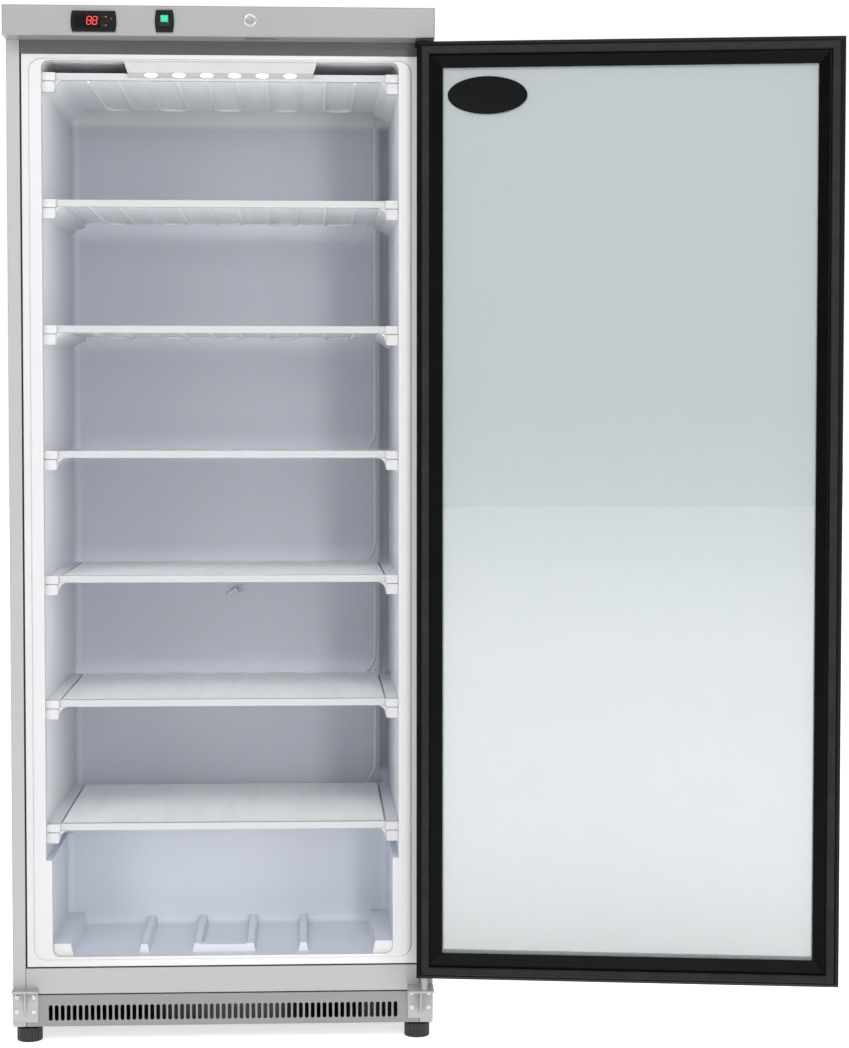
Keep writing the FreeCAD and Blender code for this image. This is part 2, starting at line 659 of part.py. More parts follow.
def evaporator_shelf(top):
    """Cold plate with its refrigerant tube looped to and fro underneath."""
    upper = top - PLATE_DROP
    lower = upper - PLATE_THICKNESS
    start = FRONT + BAR_FRONT_IN + BAR_WALL + SEAT_GAP
    end = FRONT + PLATE_BACK_IN
    plate = box(-PLATE_HALF, PLATE_HALF, start, end, lower, upper)
    slot_back = end - PLATE_SLOT_EDGE
    reach = PLATE_SLOT_WIDTH / 2
    for i in range(PLATE_SLOT_COUNT):
        x = (i - (PLATE_SLOT_COUNT - 1) / 2) * PLATE_SLOT_PITCH
        plate = plate.cut(box(x - reach, x + reach, slot_back - PLATE_SLOT_DEPTH, slot_back,
                              lower - 1, upper + 1))
    axis_z = lower - COIL_RADIUS + COIL_SINK
    first = start + BAR_DEPTH + COIL_END_GAP + COIL_PITCH / 2
    last = end - COIL_END_GAP - COIL_PITCH / 2
    left = -(COIL_RUNS - 1) / 2 * COIL_PITCH
    path = []
    for i in range(COIL_RUNS):
        x = left + i * COIL_PITCH
        near, far = (first, last) if i % 2 == 0 else (last, first)
        path.append(Part.makeLine(Vector(x, near, axis_z), Vector(x, far, axis_z)))
        if i < COIL_RUNS - 1:
            swell = far + COIL_PITCH / 2 * (1 if far > near else -1)
            bend = Part.Arc(Vector(x, far, axis_z), Vector(x + COIL_PITCH / 2, swell, axis_z),
                            Vector(x + COIL_PITCH, far, axis_z))
            path.append(bend.toShape())
    ring = Part.Wire(Part.makeCircle(COIL_RADIUS, Vector(left, first, axis_z), Vector(0, 1, 0)))
    coil = Part.Wire(path).makePipeShell([ring], True, False)
    return fused([plate, coil])


def shelf_clips():
    """White plastic holders at both ends of every shelf."""
    clips = []
    for top in shelf_heights():
        x0, x1 = CLIP_INNER, OPENING_HALF
        front = FRONT + BAR_FRONT_IN - 8.0
        head_low = top - CLIP_HEAD_HEIGHT
        foot_top = head_low - CLIP_NECK
        foot_low = foot_top - CLIP_FOOT_HEIGHT
        rear = front + CLIP_DEPTH + 6.0
        head = box(x0, x1, front, rear, head_low, top)
        neck = box(x0 + 3, x1, front + 3, rear, foot_top, head_low)
        foot = box(x0 + 2, x1, front, rear, foot_low, foot_top)
        gusset_front = FRONT + BAR_FRONT_IN
        gusset_back = gusset_front + CLIP_GUSSET_THICKNESS
        gusset_top = top - BAR_HEIGHT - SEAT_GAP
        gusset = box(x0 - CLIP_GUSSET, x0 + 4, gusset_front, gusset_back,
                     gusset_top - CLIP_GUSSET, gusset_top)
        hollowed = rod(CLIP_GUSSET, Vector(x0 - CLIP_GUSSET, gusset_front - 1, gusset_top - CLIP_GUSSET),
                       Vector(0, 1, 0), CLIP_GUSSET_THICKNESS + 2)
        right = fused([head, neck, foot, gusset.cut(hollowed)])
        clips += [right, mirrored(right)]
    return Part.makeCompound(clips)


def route_tube(points, radius):
    """Bent pipe: straight runs with rounded joints."""
    vectors = [Vector(*p) for p in points]
    pieces = []
    for a, b in zip(vectors[:-1], vectors[1:]):
        pieces.append(Part.makeCylinder(radius, (b - a).Length, a, b - a))
    for joint in vectors[1:-1]:
        pieces.append(Part.makeSphere(radius, joint))
    return fused(pieces)


def refrigerant_lines():
    """Thin pipes up the back right of the cavity, joining each shelf to the next."""
    pipes = []
    y = FRONT + PIPE_IN
    heights = shelf_heights()
    edge = FRONT + PLATE_BACK_IN
    for upper, lower in zip(heights[:-1], heights[1:]):
        level_top = upper - PLATE_DROP - PLATE_THICKNESS / 2
        level_low = lower - PLATE_DROP - PLATE_THICKNESS / 2
        points = [
            (PIPE_X, edge, level_top),
            (PIPE_X, y, level_top),
            (PIPE_X, y, level_low + PIPE_BEND_RISE),
            (PIPE_X - PIPE_SWAY, y, level_low),
            (PIPE_X - PIPE_SWAY, edge, level_low),
        ]
        pipes.append(route_tube(points, PIPE_RADIUS))
    return Part.makeCompound(pipes)


def sensor_probe():
    """Temperature bulb on its wall clip at the middle of the back wall."""
    wall = FRONT + CAVITY_DEPTH
    start = Vector(PROBE_X, wall - 14, PROBE_HEIGHT)
    bulb = rod(PROBE_RADIUS, start, Vector(-0.8, 0, -0.6), PROBE_LENGTH)
    clip = box(PROBE_X - 14, PROBE_X + 14, wall - 12, wall, PROBE_HEIGHT - 16, PROBE_HEIGHT - 6)
    stem = box(PROBE_X - 3, PROBE_X + 3, wall - 14, wall, PROBE_HEIGHT - 12, PROBE_HEIGHT + 5)
    return fused([bulb, clip, stem])


# ---- lamp ----
def lamp_valance():
    """Lamp cover hung under the head of the opening, with a sloping underside."""
    top = OPENING_TOP
    bottom = top - LAMP_HEIGHT
    y0 = FRONT + LAMP_FRONT_IN
    wide, narrow = LAMP_TOP_WIDTH / 2, LAMP_BOTTOM_WIDTH / 2
    body = prism([(-wide, y0, top), (wide, y0, top), (narrow, y0, bottom), (-narrow, y0, bottom)],
                 Vector(0, LAMP_DEPTH, 0))
    wedge = prism([(-wide, y0 - 1, bottom + LAMP_SLOPE), (-wide, y0 - 1, bottom - 1),
                   (-wide, y0 + LAMP_DEPTH, bottom - 1), (-wide, y0 + LAMP_DEPTH, bottom)],
                  Vector(2 * wide, 0, 0))
    return body.cut(wedge)


def lamp_lenses():
    """Oval lenses set in the lamp cover's underside."""
    lenses = []
    slope = math.degrees(math.atan2(LAMP_SLOPE, LAMP_DEPTH + 1))
    z = OPENING_TOP - LAMP_HEIGHT + LAMP_SLOPE / 2
    y = FRONT + LAMP_FRONT_IN + LAMP_DEPTH / 2
    for i in range(LAMP_LENS_COUNT):
        x = (i - (LAMP_LENS_COUNT - 1) / 2) * LAMP_LENS_PITCH
        lens = Part.makeCylinder(LAMP_LENS_DEPTH / 2, LAMP_LENS_HEIGHT, Vector(0, 0, -LAMP_LENS_HEIGHT))
        stretch = FreeCAD.Matrix()
        stretch.scale(LAMP_LENS_WIDTH / LAMP_LENS_DEPTH, 1, 1)
        lens = lens.transformGeometry(stretch)
        lens.rotate(Vector(0, 0, 0), Vector(1, 0, 0), -slope)
        lens.translate(Vector(x, y, z - 0.1))
        lenses.append(lens.cut(lamp_valance()))
    return Part.makeCompound(lenses)


# ---- control panel ----
def control_panel():
    """Boxed steel fascia across the head of the cabinet, with its cut-outs."""
    top = CABINET_HEIGHT
    outer = box(-SIDE, SIDE, PANEL_FRONT, FRONT, PANEL_BOTTOM, top)
    outline = edges_where(outer, lambda p: p.y < PANEL_FRONT + 0.01)
    outer = outer.makeFillet(PANEL_RADIUS, outline)
    inner = box(-SIDE + SHEET, SIDE - SHEET, PANEL_FRONT + SHEET, FRONT + 1,
                PANEL_BOTTOM + SHEET, top - SHEET)
    hidden = edges_where(inner, lambda p: p.y < PANEL_FRONT + SHEET + 0.01)
    inner = inner.makeFillet(PANEL_RADIUS - SHEET, hidden)
    panel = outer.cut(inner)
    lap = box(-SIDE, SIDE, FRONT, FRONT + COLUMN_HEM, top - SHEET, top)
    cuts = [
        box(CONTROLLER_X - CONTROLLER_WIDTH / 2 + CONTROLLER_BEZEL,
            CONTROLLER_X + CONTROLLER_WIDTH / 2 - CONTROLLER_BEZEL,
            PANEL_FRONT - 1, PANEL_FRONT + 2,
            CONTROLLER_Z - CONTROLLER_HEIGHT / 2 + CONTROLLER_BEZEL,
            CONTROLLER_Z + CONTROLLER_HEIGHT / 2 - CONTROLLER_BEZEL),
        box(SWITCH_X - SWITCH_WIDTH / 2 + SWITCH_BEZEL, SWITCH_X + SWITCH_WIDTH / 2 - SWITCH_BEZEL,
            PANEL_FRONT - 1, PANEL_FRONT + 2,
            SWITCH_Z - SWITCH_HEIGHT / 2 + SWITCH_BEZEL, SWITCH_Z + SWITCH_HEIGHT / 2 - SWITCH_BEZEL),
        rod(LOCK_BARREL_RADIUS, Vector(LOCK_X, PANEL_FRONT - 1, LOCK_Z), Vector(0, 1, 0), 4),
        box(LOCK_X - CAM_WIDTH / 2 - CAM_SLOT_SPARE, LOCK_X + CAM_REACH,
            cam_start() - CAM_SLOT_SPARE, cam_start() + CAM_THICKNESS + CAM_SLOT_SPARE,
            PANEL_BOTTOM - 1, PANEL_BOTTOM + SHEET + 1),
    ]
    return fused([panel, lap]).cut(Part.makeCompound(cuts))


def button_places():
    """Middle of the up, down and set keys, as name, X and Z."""
    x = CONTROLLER_X + BUTTON_X - 9.0
    return [
        ("button_up", x, CONTROLLER_Z + BUTTON_SPREAD),
        ("button_down", x, CONTROLLER_Z - BUTTON_SPREAD),
        ("button_set", x + 9.0, CONTROLLER_Z),
    ]


def controller_body():
    """Temperature controller: bowed bezel and the case behind the panel."""
    bezel = bowed_plate(CONTROLLER_X, CONTROLLER_Z, CONTROLLER_WIDTH, CONTROLLER_HEIGHT, CONTROL_BOW,
                        PANEL_FRONT - CONTROLLER_BEZEL, PANEL_FRONT)
    rim = edges_where(bezel, lambda p: p.y < PANEL_FRONT - CONTROLLER_BEZEL + 0.01)
    bezel = bezel.makeChamfer(1.5, rim)
    half_x = CONTROLLER_WIDTH / 2 - CONTROLLER_BEZEL - SEAT_GAP
    half_z = CONTROLLER_HEIGHT / 2 - CONTROLLER_BEZEL - SEAT_GAP
    case = box(CONTROLLER_X - half_x, CONTROLLER_X + half_x, PANEL_FRONT, PANEL_FRONT + CONTROLLER_BODY_DEPTH,
               CONTROLLER_Z - half_z, CONTROLLER_Z + half_z)
    body = fused([bezel, case])
    x = CONTROLLER_X + WINDOW_SHIFT
    seat = box(x - WINDOW_WIDTH / 2, x + WINDOW_WIDTH / 2, PANEL_FRONT - CONTROLLER_BEZEL - 1,
               PANEL_FRONT - CONTROLLER_BEZEL + WINDOW_THICKNESS, CONTROLLER_Z - WINDOW_HEIGHT / 2,
               CONTROLLER_Z + WINDOW_HEIGHT / 2)
    wells = [seat]
    for _, bx, bz in button_places():
        wells.append(rod(BUTTON_RADIUS + BUTTON_CLEARANCE, Vector(bx, PANEL_FRONT - CONTROLLER_BEZEL - 1, bz),
                         Vector(0, 1, 0), 6.0 + BUTTON_TRAVEL))
    return body.cut(Part.makeCompound(wells))


def controller_window():
    """Clear window over the display."""
    x = CONTROLLER_X + WINDOW_SHIFT
    face = PANEL_FRONT - CONTROLLER_BEZEL
    pane = box(x - WINDOW_WIDTH / 2, x + WINDOW_WIDTH / 2, face, face + WINDOW_THICKNESS,
               CONTROLLER_Z - WINDOW_HEIGHT / 2, CONTROLLER_Z + WINDOW_HEIGHT / 2)
    holes = []
    for _, bx, bz in button_places():
        holes.append(rod(BUTTON_RADIUS + BUTTON_CLEARANCE, Vector(bx, face - 1, bz), Vector(0, 1, 0), 5))
    return pane.cut(Part.makeCompound(holes))


def button(x, z):
    """One key of the controller, standing a little proud of the bezel."""
    face = PANEL_FRONT - CONTROLLER_BEZEL
    key = rod(BUTTON_RADIUS, Vector(x, face - BUTTON_TRAVEL, z), Vector(0, 1, 0), 5.0 + BUTTON_TRAVEL - 0.2)
    rim = [e for e in key.Edges if e.Closed and e.valueAt(e.FirstParameter).y < face - BUTTON_TRAVEL + 0.01]
    return key.makeFillet(0.6, rim)


def switch_body():
    """Rocker switch housing with bowed bezel and a well for the rocker."""
    face = PANEL_FRONT - SWITCH_BEZEL
    bezel = bowed_plate(SWITCH_X, SWITCH_Z, SWITCH_WIDTH, SWITCH_HEIGHT, CONTROL_BOW, face, PANEL_FRONT)
    rim = edges_where(bezel, lambda p: p.y < face + 0.01)
    bezel = bezel.makeChamfer(1.5, rim)
    half_x = SWITCH_WIDTH / 2 - SWITCH_BEZEL - SEAT_GAP
    half_z = SWITCH_HEIGHT / 2 - SWITCH_BEZEL - SEAT_GAP
    case = box(SWITCH_X - half_x, SWITCH_X + half_x, PANEL_FRONT, PANEL_FRONT + SWITCH_BODY_DEPTH,
               SWITCH_Z - half_z, SWITCH_Z + half_z)
    reach = ROCKER_WIDTH / 2 + ROCKER_CLEARANCE
    pivot = rocker_pivot()
    well = rod(ROCKER_RADIUS + ROCKER_CLEARANCE, Vector(SWITCH_X - reach, pivot.y, pivot.z),
               Vector(1, 0, 0), 2 * reach)
    return fused([bezel, case]).cut(well)


def rocker_pivot():
    """Point on the rocker's turning axis."""
    return Vector(SWITCH_X, PANEL_FRONT + 1.0, SWITCH_Z + ROCKER_SHIFT)


def switch_rocker():
    """Rocker, pressed in at the foot as when the freezer is on."""
    pivot = rocker_pivot()
    half = ROCKER_WIDTH / 2
    drum = rod(ROCKER_RADIUS, Vector(SWITCH_X - half, pivot.y, pivot.z), Vector(1, 0, 0), ROCKER_WIDTH)
    face = PANEL_FRONT - SWITCH_BEZEL - ROCKER_RISE
    crown = [
        (SWITCH_X - half, pivot.y + 4, pivot.z - ROCKER_RADIUS),
        (SWITCH_X - half, face, pivot.z - ROCKER_RADIUS),
        (SWITCH_X - half, face + ROCKER_RISE * 0.7, pivot.z),
        (SWITCH_X - half, face, pivot.z + ROCKER_RADIUS),
        (SWITCH_X - half, pivot.y + 4, pivot.z + ROCKER_RADIUS),
    ]
    rocker = drum.common(prism(crown, Vector(ROCKER_WIDTH, 0, 0)))
    pins = rod(1.5, Vector(SWITCH_X - half, pivot.y, pivot.z), Vector(1, 0, 0), ROCKER_WIDTH)
    rocker = fused([rocker, pins])
    rocker.rotate(pivot, Vector(1, 0, 0), ROCKER_TILT)
    return rocker


def cam_start():
    """Front face of the lock's cam blade."""
    return PANEL_FRONT + LOCK_DEPTH + 2.0


def lock_barrel():
    """Lock case with its round face on the panel."""
    axis = Vector(0, 1, 0)
    flange = rod(LOCK_FACE_RADIUS, Vector(LOCK_X, PANEL_FRONT - 2.5, LOCK_Z), axis, 2.5)
    rim = [e for e in flange.Edges if e.Closed and e.valueAt(e.FirstParameter).y < PANEL_FRONT - 2.4]
    flange = flange.makeFillet(1.2, rim)
    case = rod(LOCK_BARREL_RADIUS - RUNNING_CLEARANCE, Vector(LOCK_X, PANEL_FRONT, LOCK_Z), axis, LOCK_DEPTH)
    bore = rod(LOCK_PLUG_RADIUS + RUNNING_CLEARANCE, Vector(LOCK_X, PANEL_FRONT - 9, LOCK_Z), axis, 60)
    return fused([flange, case]).cut(bore)


def lock_plug():
    """Turning core of the lock, with its keyhole."""
    face = PANEL_FRONT - 2.2
    core = rod(LOCK_PLUG_RADIUS, Vector(LOCK_X, face, LOCK_Z), Vector(0, 1, 0), cam_start() - face)
    tail = box(LOCK_X - 2.5, LOCK_X + 2.5, cam_start(), cam_start() + CAM_THICKNESS + 2,
               LOCK_Z - 2.5, LOCK_Z + 2.5)
    keyhole = box(LOCK_X - 1.0, LOCK_X + 1.0, face - 1, face + 15, LOCK_Z - 3.4, LOCK_Z + 3.4)
    round_hole = rod(1.7, Vector(LOCK_X, face - 1, LOCK_Z), Vector(0, 1, 0), 16)
    return fused([core, tail]).cut(keyhole).cut(round_hole)


def lock_cam():
    """Blade on the back of the lock that drops into the door's head when turned."""
    y = cam_start()
    half = CAM_WIDTH / 2
    blade = box(LOCK_X - half, LOCK_X + CAM_REACH - half, y, y + CAM_THICKNESS, LOCK_Z - half, LOCK_Z + half)
    heel = rod(half, Vector(LOCK_X, y, LOCK_Z), Vector(0, 1, 0), CAM_THICKNESS)
    toe = rod(half, Vector(LOCK_X + CAM_REACH - half, y, LOCK_Z), Vector(0, 1, 0), CAM_THICKNESS)
    trim = box(LOCK_X - half - 1, LOCK_X, y - 1, y + CAM_THICKNESS + 1, LOCK_Z - half - 1, LOCK_Z + half + 1)
    hole = box(LOCK_X - 2.5, LOCK_X + 2.5, y - 1, y + CAM_THICKNESS + 1, LOCK_Z - 2.5, LOCK_Z + 2.5)
    return fused([blade.cut(trim), heel, toe]).cut(hole)


# ---- door, closed ----
def mitred_bar(start, end, inward, section):
    """Bar between two outer corners, cut at 45 degrees at both ends. The section's points are the
    distance in from the outer edge and the distance from the door's inner face, towards the front."""
    along = (end - start).normalize()
    rings = []
    for corner, sign in ((start, 1), (end, -1)):
        ring = []
        for u, w in section:
            ring.append(corner + inward * u + Vector(0, -w, 0) + along * (sign * u))
        rings.append(ring)
    faces = []
    count = len(section)
    for i in range(count):
        j = (i + 1) % count
        corners = [rings[0][i], rings[0][j], rings[1][j], rings[1][i]]
        faces.append(Part.Face(Part.makePolygon(corners + corners[:1])))
    for ring in rings:
        faces.append(Part.Face(Part.makePolygon(ring + ring[:1])))
    solid = Part.Solid(Part.makeShell(faces))
    if solid.Volume < 0:
        solid.reverse()
    return solid


def door_ring(section):
    """Four mitred bars round the door, as bottom, hinge side, top and free side."""
    low_free = Vector(-DOOR_HALF, DOOR_INNER, DOOR_BOTTOM)
    low_hinge = Vector(DOOR_HALF, DOOR_INNER, DOOR_BOTTOM)
    top_hinge = Vector(DOOR_HALF, DOOR_INNER, DOOR_TOP)
    top_free = Vector(-DOOR_HALF, DOOR_INNER, DOOR_TOP)
    return [
        mitred_bar(low_free, low_hinge, Vector(0, 0, 1), section),
        mitred_bar(low_hinge, top_hinge, Vector(-1, 0, 0), section),
        mitred_bar(top_hinge, top_free, Vector(0, 0, -1), section),
        mitred_bar(top_free, low_free, Vector(1, 0, 0), section),
    ]


def door_frame():
    """Four mitred profiles, bored for the hinge pins and slotted for the lock."""
    outer_lip = DOOR_THICKNESS - FRAME_CHAMFER
    section = [
        (0, FRAME_EDGE + 2),
        (FRAME_EDGE, 0),
        (FRAME_LAND, 0),
        (FRAME_WIDTH, FRAME_BEVEL_DEPTH),
        (FRAME_WIDTH, GLASS_START),
        (GLASS_EDGE, GLASS_START),
        (GLASS_EDGE, GLASS_START + GLASS_STACK),
        (FRAME_WIDTH, GLASS_START + GLASS_STACK),
        (FRAME_WIDTH, outer_lip),
        (FRAME_WIDTH - FRAME_CHAMFER, DOOR_THICKNESS),
        (FRAME_CHAMFER, DOOR_THICKNESS),
        (0, outer_lip),
    ]
    bore = SPIGOT_RADIUS + RUNNING_CLEARANCE
    reach = SPIGOT_REACH + 2.0
    low = rod(bore, Vector(HINGE_X, HINGE_Y, DOOR_BOTTOM - 1), Vector(0, 0, 1), reach + 1)
    high = rod(bore, Vector(HINGE_X, HINGE_Y, DOOR_TOP - reach), Vector(0, 0, 1), reach + 1)
    depth = LOCK_Z - CAM_REACH - 4.0
    keeper = box(LOCK_X - CAM_WIDTH / 2 - CAM_SLOT_SPARE, LOCK_X + CAM_REACH * 0.85,
                 cam_start() - CAM_SLOT_SPARE, cam_start() + CAM_THICKNESS + CAM_SLOT_SPARE,
                 depth, DOOR_TOP + 1)
    cuts = Part.makeCompound([low, high, keeper])
    return Part.makeCompound([bar.cut(cuts) for bar in door_ring(section)])


def door_pane(front_offset):
    """Pane of the sealed unit, lapped behind the frame."""
    inset = GLASS_EDGE + SEAT_GAP
    y1 = DOOR_INNER - GLASS_START - front_offset
    return box(-DOOR_HALF + inset, DOOR_HALF - inset, y1 - GLASS_THICKNESS, y1,
               DOOR_BOTTOM + inset, DOOR_TOP - inset)


def glass_spacer():
    """Bar round the edge between the two panes."""
    inset = GLASS_EDGE + SEAT_GAP
    start = GLASS_START + GLASS_THICKNESS
    section = [(inset, start), (inset + SPACER_WIDTH, start), (inset + SPACER_WIDTH, start + GLASS_SPACE),
               (inset, start + GLASS_SPACE)]
    return fused(door_ring(section))


def door_gasket():
    """Magnetic seal round the door's inner face."""
    depth = DOOR_FACE_GAP - GASKET_GAP
    u0, u1 = GASKET_INSET, GASKET_INSET + GASKET_WIDTH
    section = [(u0 + 2, 0), (u0 + 2, -depth * 0.4), (u0, -depth * 0.55), (u0, -depth * 0.8),
               (u0 + 1.5, -depth), (u1 - 1.5, -depth), (u1, -depth * 0.8), (u1, -depth * 0.55),
               (u1 - 2, -depth * 0.4), (u1 - 2, 0)]
    return fused(door_ring(section))


def edge_pull():
    """Small metal finger pull bent round the free edge of the door, standing a little off it."""
    z0 = PULL_CENTRE - PULL_HEIGHT / 2
    z1 = PULL_CENTRE + PULL_HEIGHT / 2
    edge = -DOOR_HALF
    inner = edge - PULL_STANDOFF
    outer = inner - PULL_THICKNESS
    face = box(outer, edge + PULL_GRIP, DOOR_OUTER - PULL_THICKNESS, DOOR_OUTER, z0, z1)
    wrap = box(outer, inner, DOOR_OUTER - PULL_LIP, DOOR_OUTER + PULL_GRIP, z0, z1)
    return fused([face, wrap])


def opened(shape):
    """Door part turned from closed to standing open."""
    turned = shape.copy()
    turned.rotate(Vector(HINGE_X, HINGE_Y, 0), Vector(0, 0, 1), DOOR_OPEN_ANGLE)
    return turned


# ---- brackets, pins and screws ----
def bracket(reach):
    """Right-hand angle bracket with a shelf on top and a web under it."""
    inner = SIDE - BRACKET_WIDTH
    front = FRONT - BRACKET_SHEET
    plate = box(inner, SIDE, front, FRONT, BRACKET_BOTTOM, BRACKET_TOP)
    shelf = box(inner, SIDE, FRONT - reach, FRONT, BRACKET_TOP - BRACKET_SHEET - 0.5, BRACKET_TOP)
    corners = edges_where(shelf, lambda p: p.y < FRONT - reach + 0.01)
    corners = [e for e in corners if abs(e.tangentAt(e.FirstParameter).z) > 0.9]
    shelf = shelf.makeFillet(4.0, corners)
    x = SIDE - BRACKET_WIDTH / 2 - BRACKET_SHEET / 2
    low = BRACKET_BOTTOM + 8.0
    high = BRACKET_TOP - 1
    outline = [(x, front + 0.5, low), (x, front + 0.5, high), (x, FRONT - reach * 0.8, high)]
    web = prism(outline, Vector(BRACKET_SHEET, 0, 0))
    return fused([plate, shelf, web])


def screw_places():
    """Middle of each bracket screw on the right side."""
    x = SIDE - BRACKET_WIDTH / 2
    places = []
    for sx in (-1, 1):
        for row in range(2):
            places.append((x + sx * SCREW_COLUMNS / 2, SCREW_TOP - row * SCREW_ROWS))
    return places


def hinge_bracket():
    """Lower bracket with its riveted pin, whose shoulder carries the door."""
    up = Vector(0, 0, 1)
    shoulder = DOOR_BOTTOM - SEAT_GAP
    foot_z = BRACKET_TOP - BRACKET_SHEET
    pin = rod(HINGE_PIN_RADIUS, Vector(HINGE_X, HINGE_Y, foot_z), up, shoulder - foot_z)
    spigot = rod(SPIGOT_RADIUS, Vector(HINGE_X, HINGE_Y, foot_z), up, shoulder - foot_z + SPIGOT_REACH)
    return fused([bracket(BRACKET_HINGE_REACH).cut(screw_holes()), pin, spigot])


def plain_bracket():
    """Matching bracket under the other column."""
    return mirrored(bracket(BRACKET_PLAIN_REACH).cut(screw_holes()))


def screw_holes():
    """Shank holes through the right-hand plate."""
    holes = [rod(SCREW_SHANK, Vector(x, FRONT - 10, z), Vector(0, 1, 0), 20) for x, z in screw_places()]
    return Part.makeCompound(holes)


def upper_hinge_bracket():
    """Angle under the control panel with its riveted pin, which holds the door's head."""
    top = PANEL_BOTTOM - UPPER_PLATE_GAP
    low = top - BRACKET_SHEET
    inner = SIDE - UPPER_PLATE_WIDTH
    plate = box(inner, SIDE - 2.0, HINGE_Y - 9.0, FRONT, low, top)
    pin_low = DOOR_TOP - SPIGOT_REACH
    pin = rod(SPIGOT_RADIUS, Vector(HINGE_X, HINGE_Y, pin_low), Vector(0, 0, 1), top - pin_low)
    tab = box(inner, COLUMN_INNER - 1.5, FRONT - BRACKET_SHEET, FRONT, low - 6.0, top)
    return fused([plate, tab, pin])


def screw(point, outwards):
    """Round-headed screw: the head outside the face and the shank through it."""
    head = rod(SCREW_RADIUS, point, outwards, SCREW_HEAD)
    tip = point + outwards * SCREW_HEAD
    rim = [e for e in head.Edges if e.Closed and (e.valueAt(e.FirstParameter) - tip).dot(outwards) > -0.01]
    head = head.makeFillet(SCREW_HEAD * 0.6, rim)
    return head


def fixing_screws():
    """Screws of both lower brackets and of the control panel's cheeks."""
    screws = []
    forward = Vector(0, -1, 0)
    for x, z in screw_places():
        face = Vector(x, FRONT - BRACKET_SHEET, z)
        shank = rod(SCREW_SHANK - RUNNING_CLEARANCE, face, Vector(0, 1, 0), BRACKET_SHEET)
        right = fused([screw(face, forward), shank])
        screws += [right, mirrored(right)]
    cheek_place = (FRONT - PANEL_DEPTH / 2, PANEL_BOTTOM + PANEL_HEIGHT * 0.7)
    column_place = (FRONT + COLUMN_WIDTH / 2, SILL_BOTTOM + 2)
    for y, z in (cheek_place, column_place):
        right = screw(Vector(SIDE, y, z), Vector(1, 0, 0))
        screws += [right, mirrored(right)]
    return Part.makeCompound(screws)


# ---- feet ----
def foot_places():
    """X and Y of the feet, in the order of their names."""
    front, rear = FRONT + FOOT_IN, BACK - FOOT_IN - 10.0
    return [(-FOOT_X, front), (FOOT_X, front), (-FOOT_X, rear), (FOOT_X, rear)]


def foot(x, y):
    """Levelling foot: ribbed pad, neck and stud."""
    up = Vector(0, 0, 1)
    pad_height = FOOT_HEIGHT - FOOT_NECK_HEIGHT
    pad = rod(FOOT_RADIUS, Vector(x, y, 0), up, pad_height)
    rims = [e for e in pad.Edges if e.Closed]
    pad = pad.makeChamfer(FOOT_CHAMFER, rims)
    grooves = []
    for i in range(FOOT_RIBS):
        angle = 2 * math.pi * i / FOOT_RIBS
        centre = Vector(x + FOOT_RADIUS * math.cos(angle), y + FOOT_RADIUS * math.sin(angle), FOOT_CHAMFER)
        grooves.append(rod(FOOT_RIB_RADIUS, centre, up, pad_height))
    pad = pad.cut(Part.makeCompound(grooves))
    neck = rod(FOOT_NECK_RADIUS, Vector(x, y, pad_height), up, FOOT_NECK_HEIGHT)
    stud = rod(STUD_RADIUS, Vector(x, y, pad_height), up, FOOT_NECK_HEIGHT + STUD_REACH)
    return fused([pad, neck, stud])


# ---- machine space ----
def compressor():
    """Hermetic compressor on its foot plate."""
    y = FRONT + COMPRESSOR_IN
    base = PAN_TOP
    shell_low = base + COMPRESSOR_FOOT
    dome = COMPRESSOR_RADIUS * 0.45
    barrel = rod(COMPRESSOR_RADIUS, Vector(COMPRESSOR_X, y, shell_low), Vector(0, 0, 1), COMPRESSOR_HEIGHT)
    rims = [e for e in barrel.Edges if e.Closed]
    barrel = barrel.makeFillet(dome, rims)
    half_x, half_y = COMPRESSOR_PLATE_WIDTH / 2, COMPRESSOR_PLATE_DEPTH / 2
    plate = box(COMPRESSOR_X - half_x, COMPRESSOR_X + half_x, y - half_y, y + half_y, shell_low,
                shell_low + COMPRESSOR_PLATE)
    seam_low = Vector(COMPRESSOR_X, y, shell_low + COMPRESSOR_HEIGHT * 0.55)
    seam = rod(COMPRESSOR_RADIUS + COMPRESSOR_SEAM, seam_low, Vector(0, 0, 1), COMPRESSOR_SEAM_HEIGHT)
    mounts = []
    for sx in (-1, 1):
        for sy in (-1, 1):
            across = sx * (half_x - COMPRESSOR_FOOT_IN)
            along = sy * (half_y - COMPRESSOR_FOOT_IN)
            place = Vector(COMPRESSOR_X + across, y + along, base)
            mounts.append(rod(COMPRESSOR_FOOT_RADIUS, place, Vector(0, 0, 1), COMPRESSOR_FOOT))
    return fused([barrel, plate, seam] + mounts)


def condenser():
    """Finned condenser standing on the pan, one fin per pitch between two end plates."""
    x0 = CONDENSER_X - CONDENSER_WIDTH / 2
    y0 = FRONT + CONDENSER_IN
    z0 = PAN_TOP
    z1 = z0 + CONDENSER_HEIGHT
    pieces = []
    pitch = (CONDENSER_WIDTH - FIN_THICKNESS) / (FIN_COUNT - 1)
    for i in range(FIN_COUNT):
        x = x0 + i * pitch
        pieces.append(box(x, x + FIN_THICKNESS, y0, y0 + CONDENSER_DEPTH, z0, z1))
    rows = 4
    for row in range(rows):
        z = z0 + CONDENSER_HEIGHT * (row + 0.5) / rows
        start = Vector(x0 - 8, y0 + CONDENSER_DEPTH / 2, z)
        pieces.append(rod(5.0, start, Vector(1, 0, 0), CONDENSER_WIDTH + 16))
    return fused(pieces)


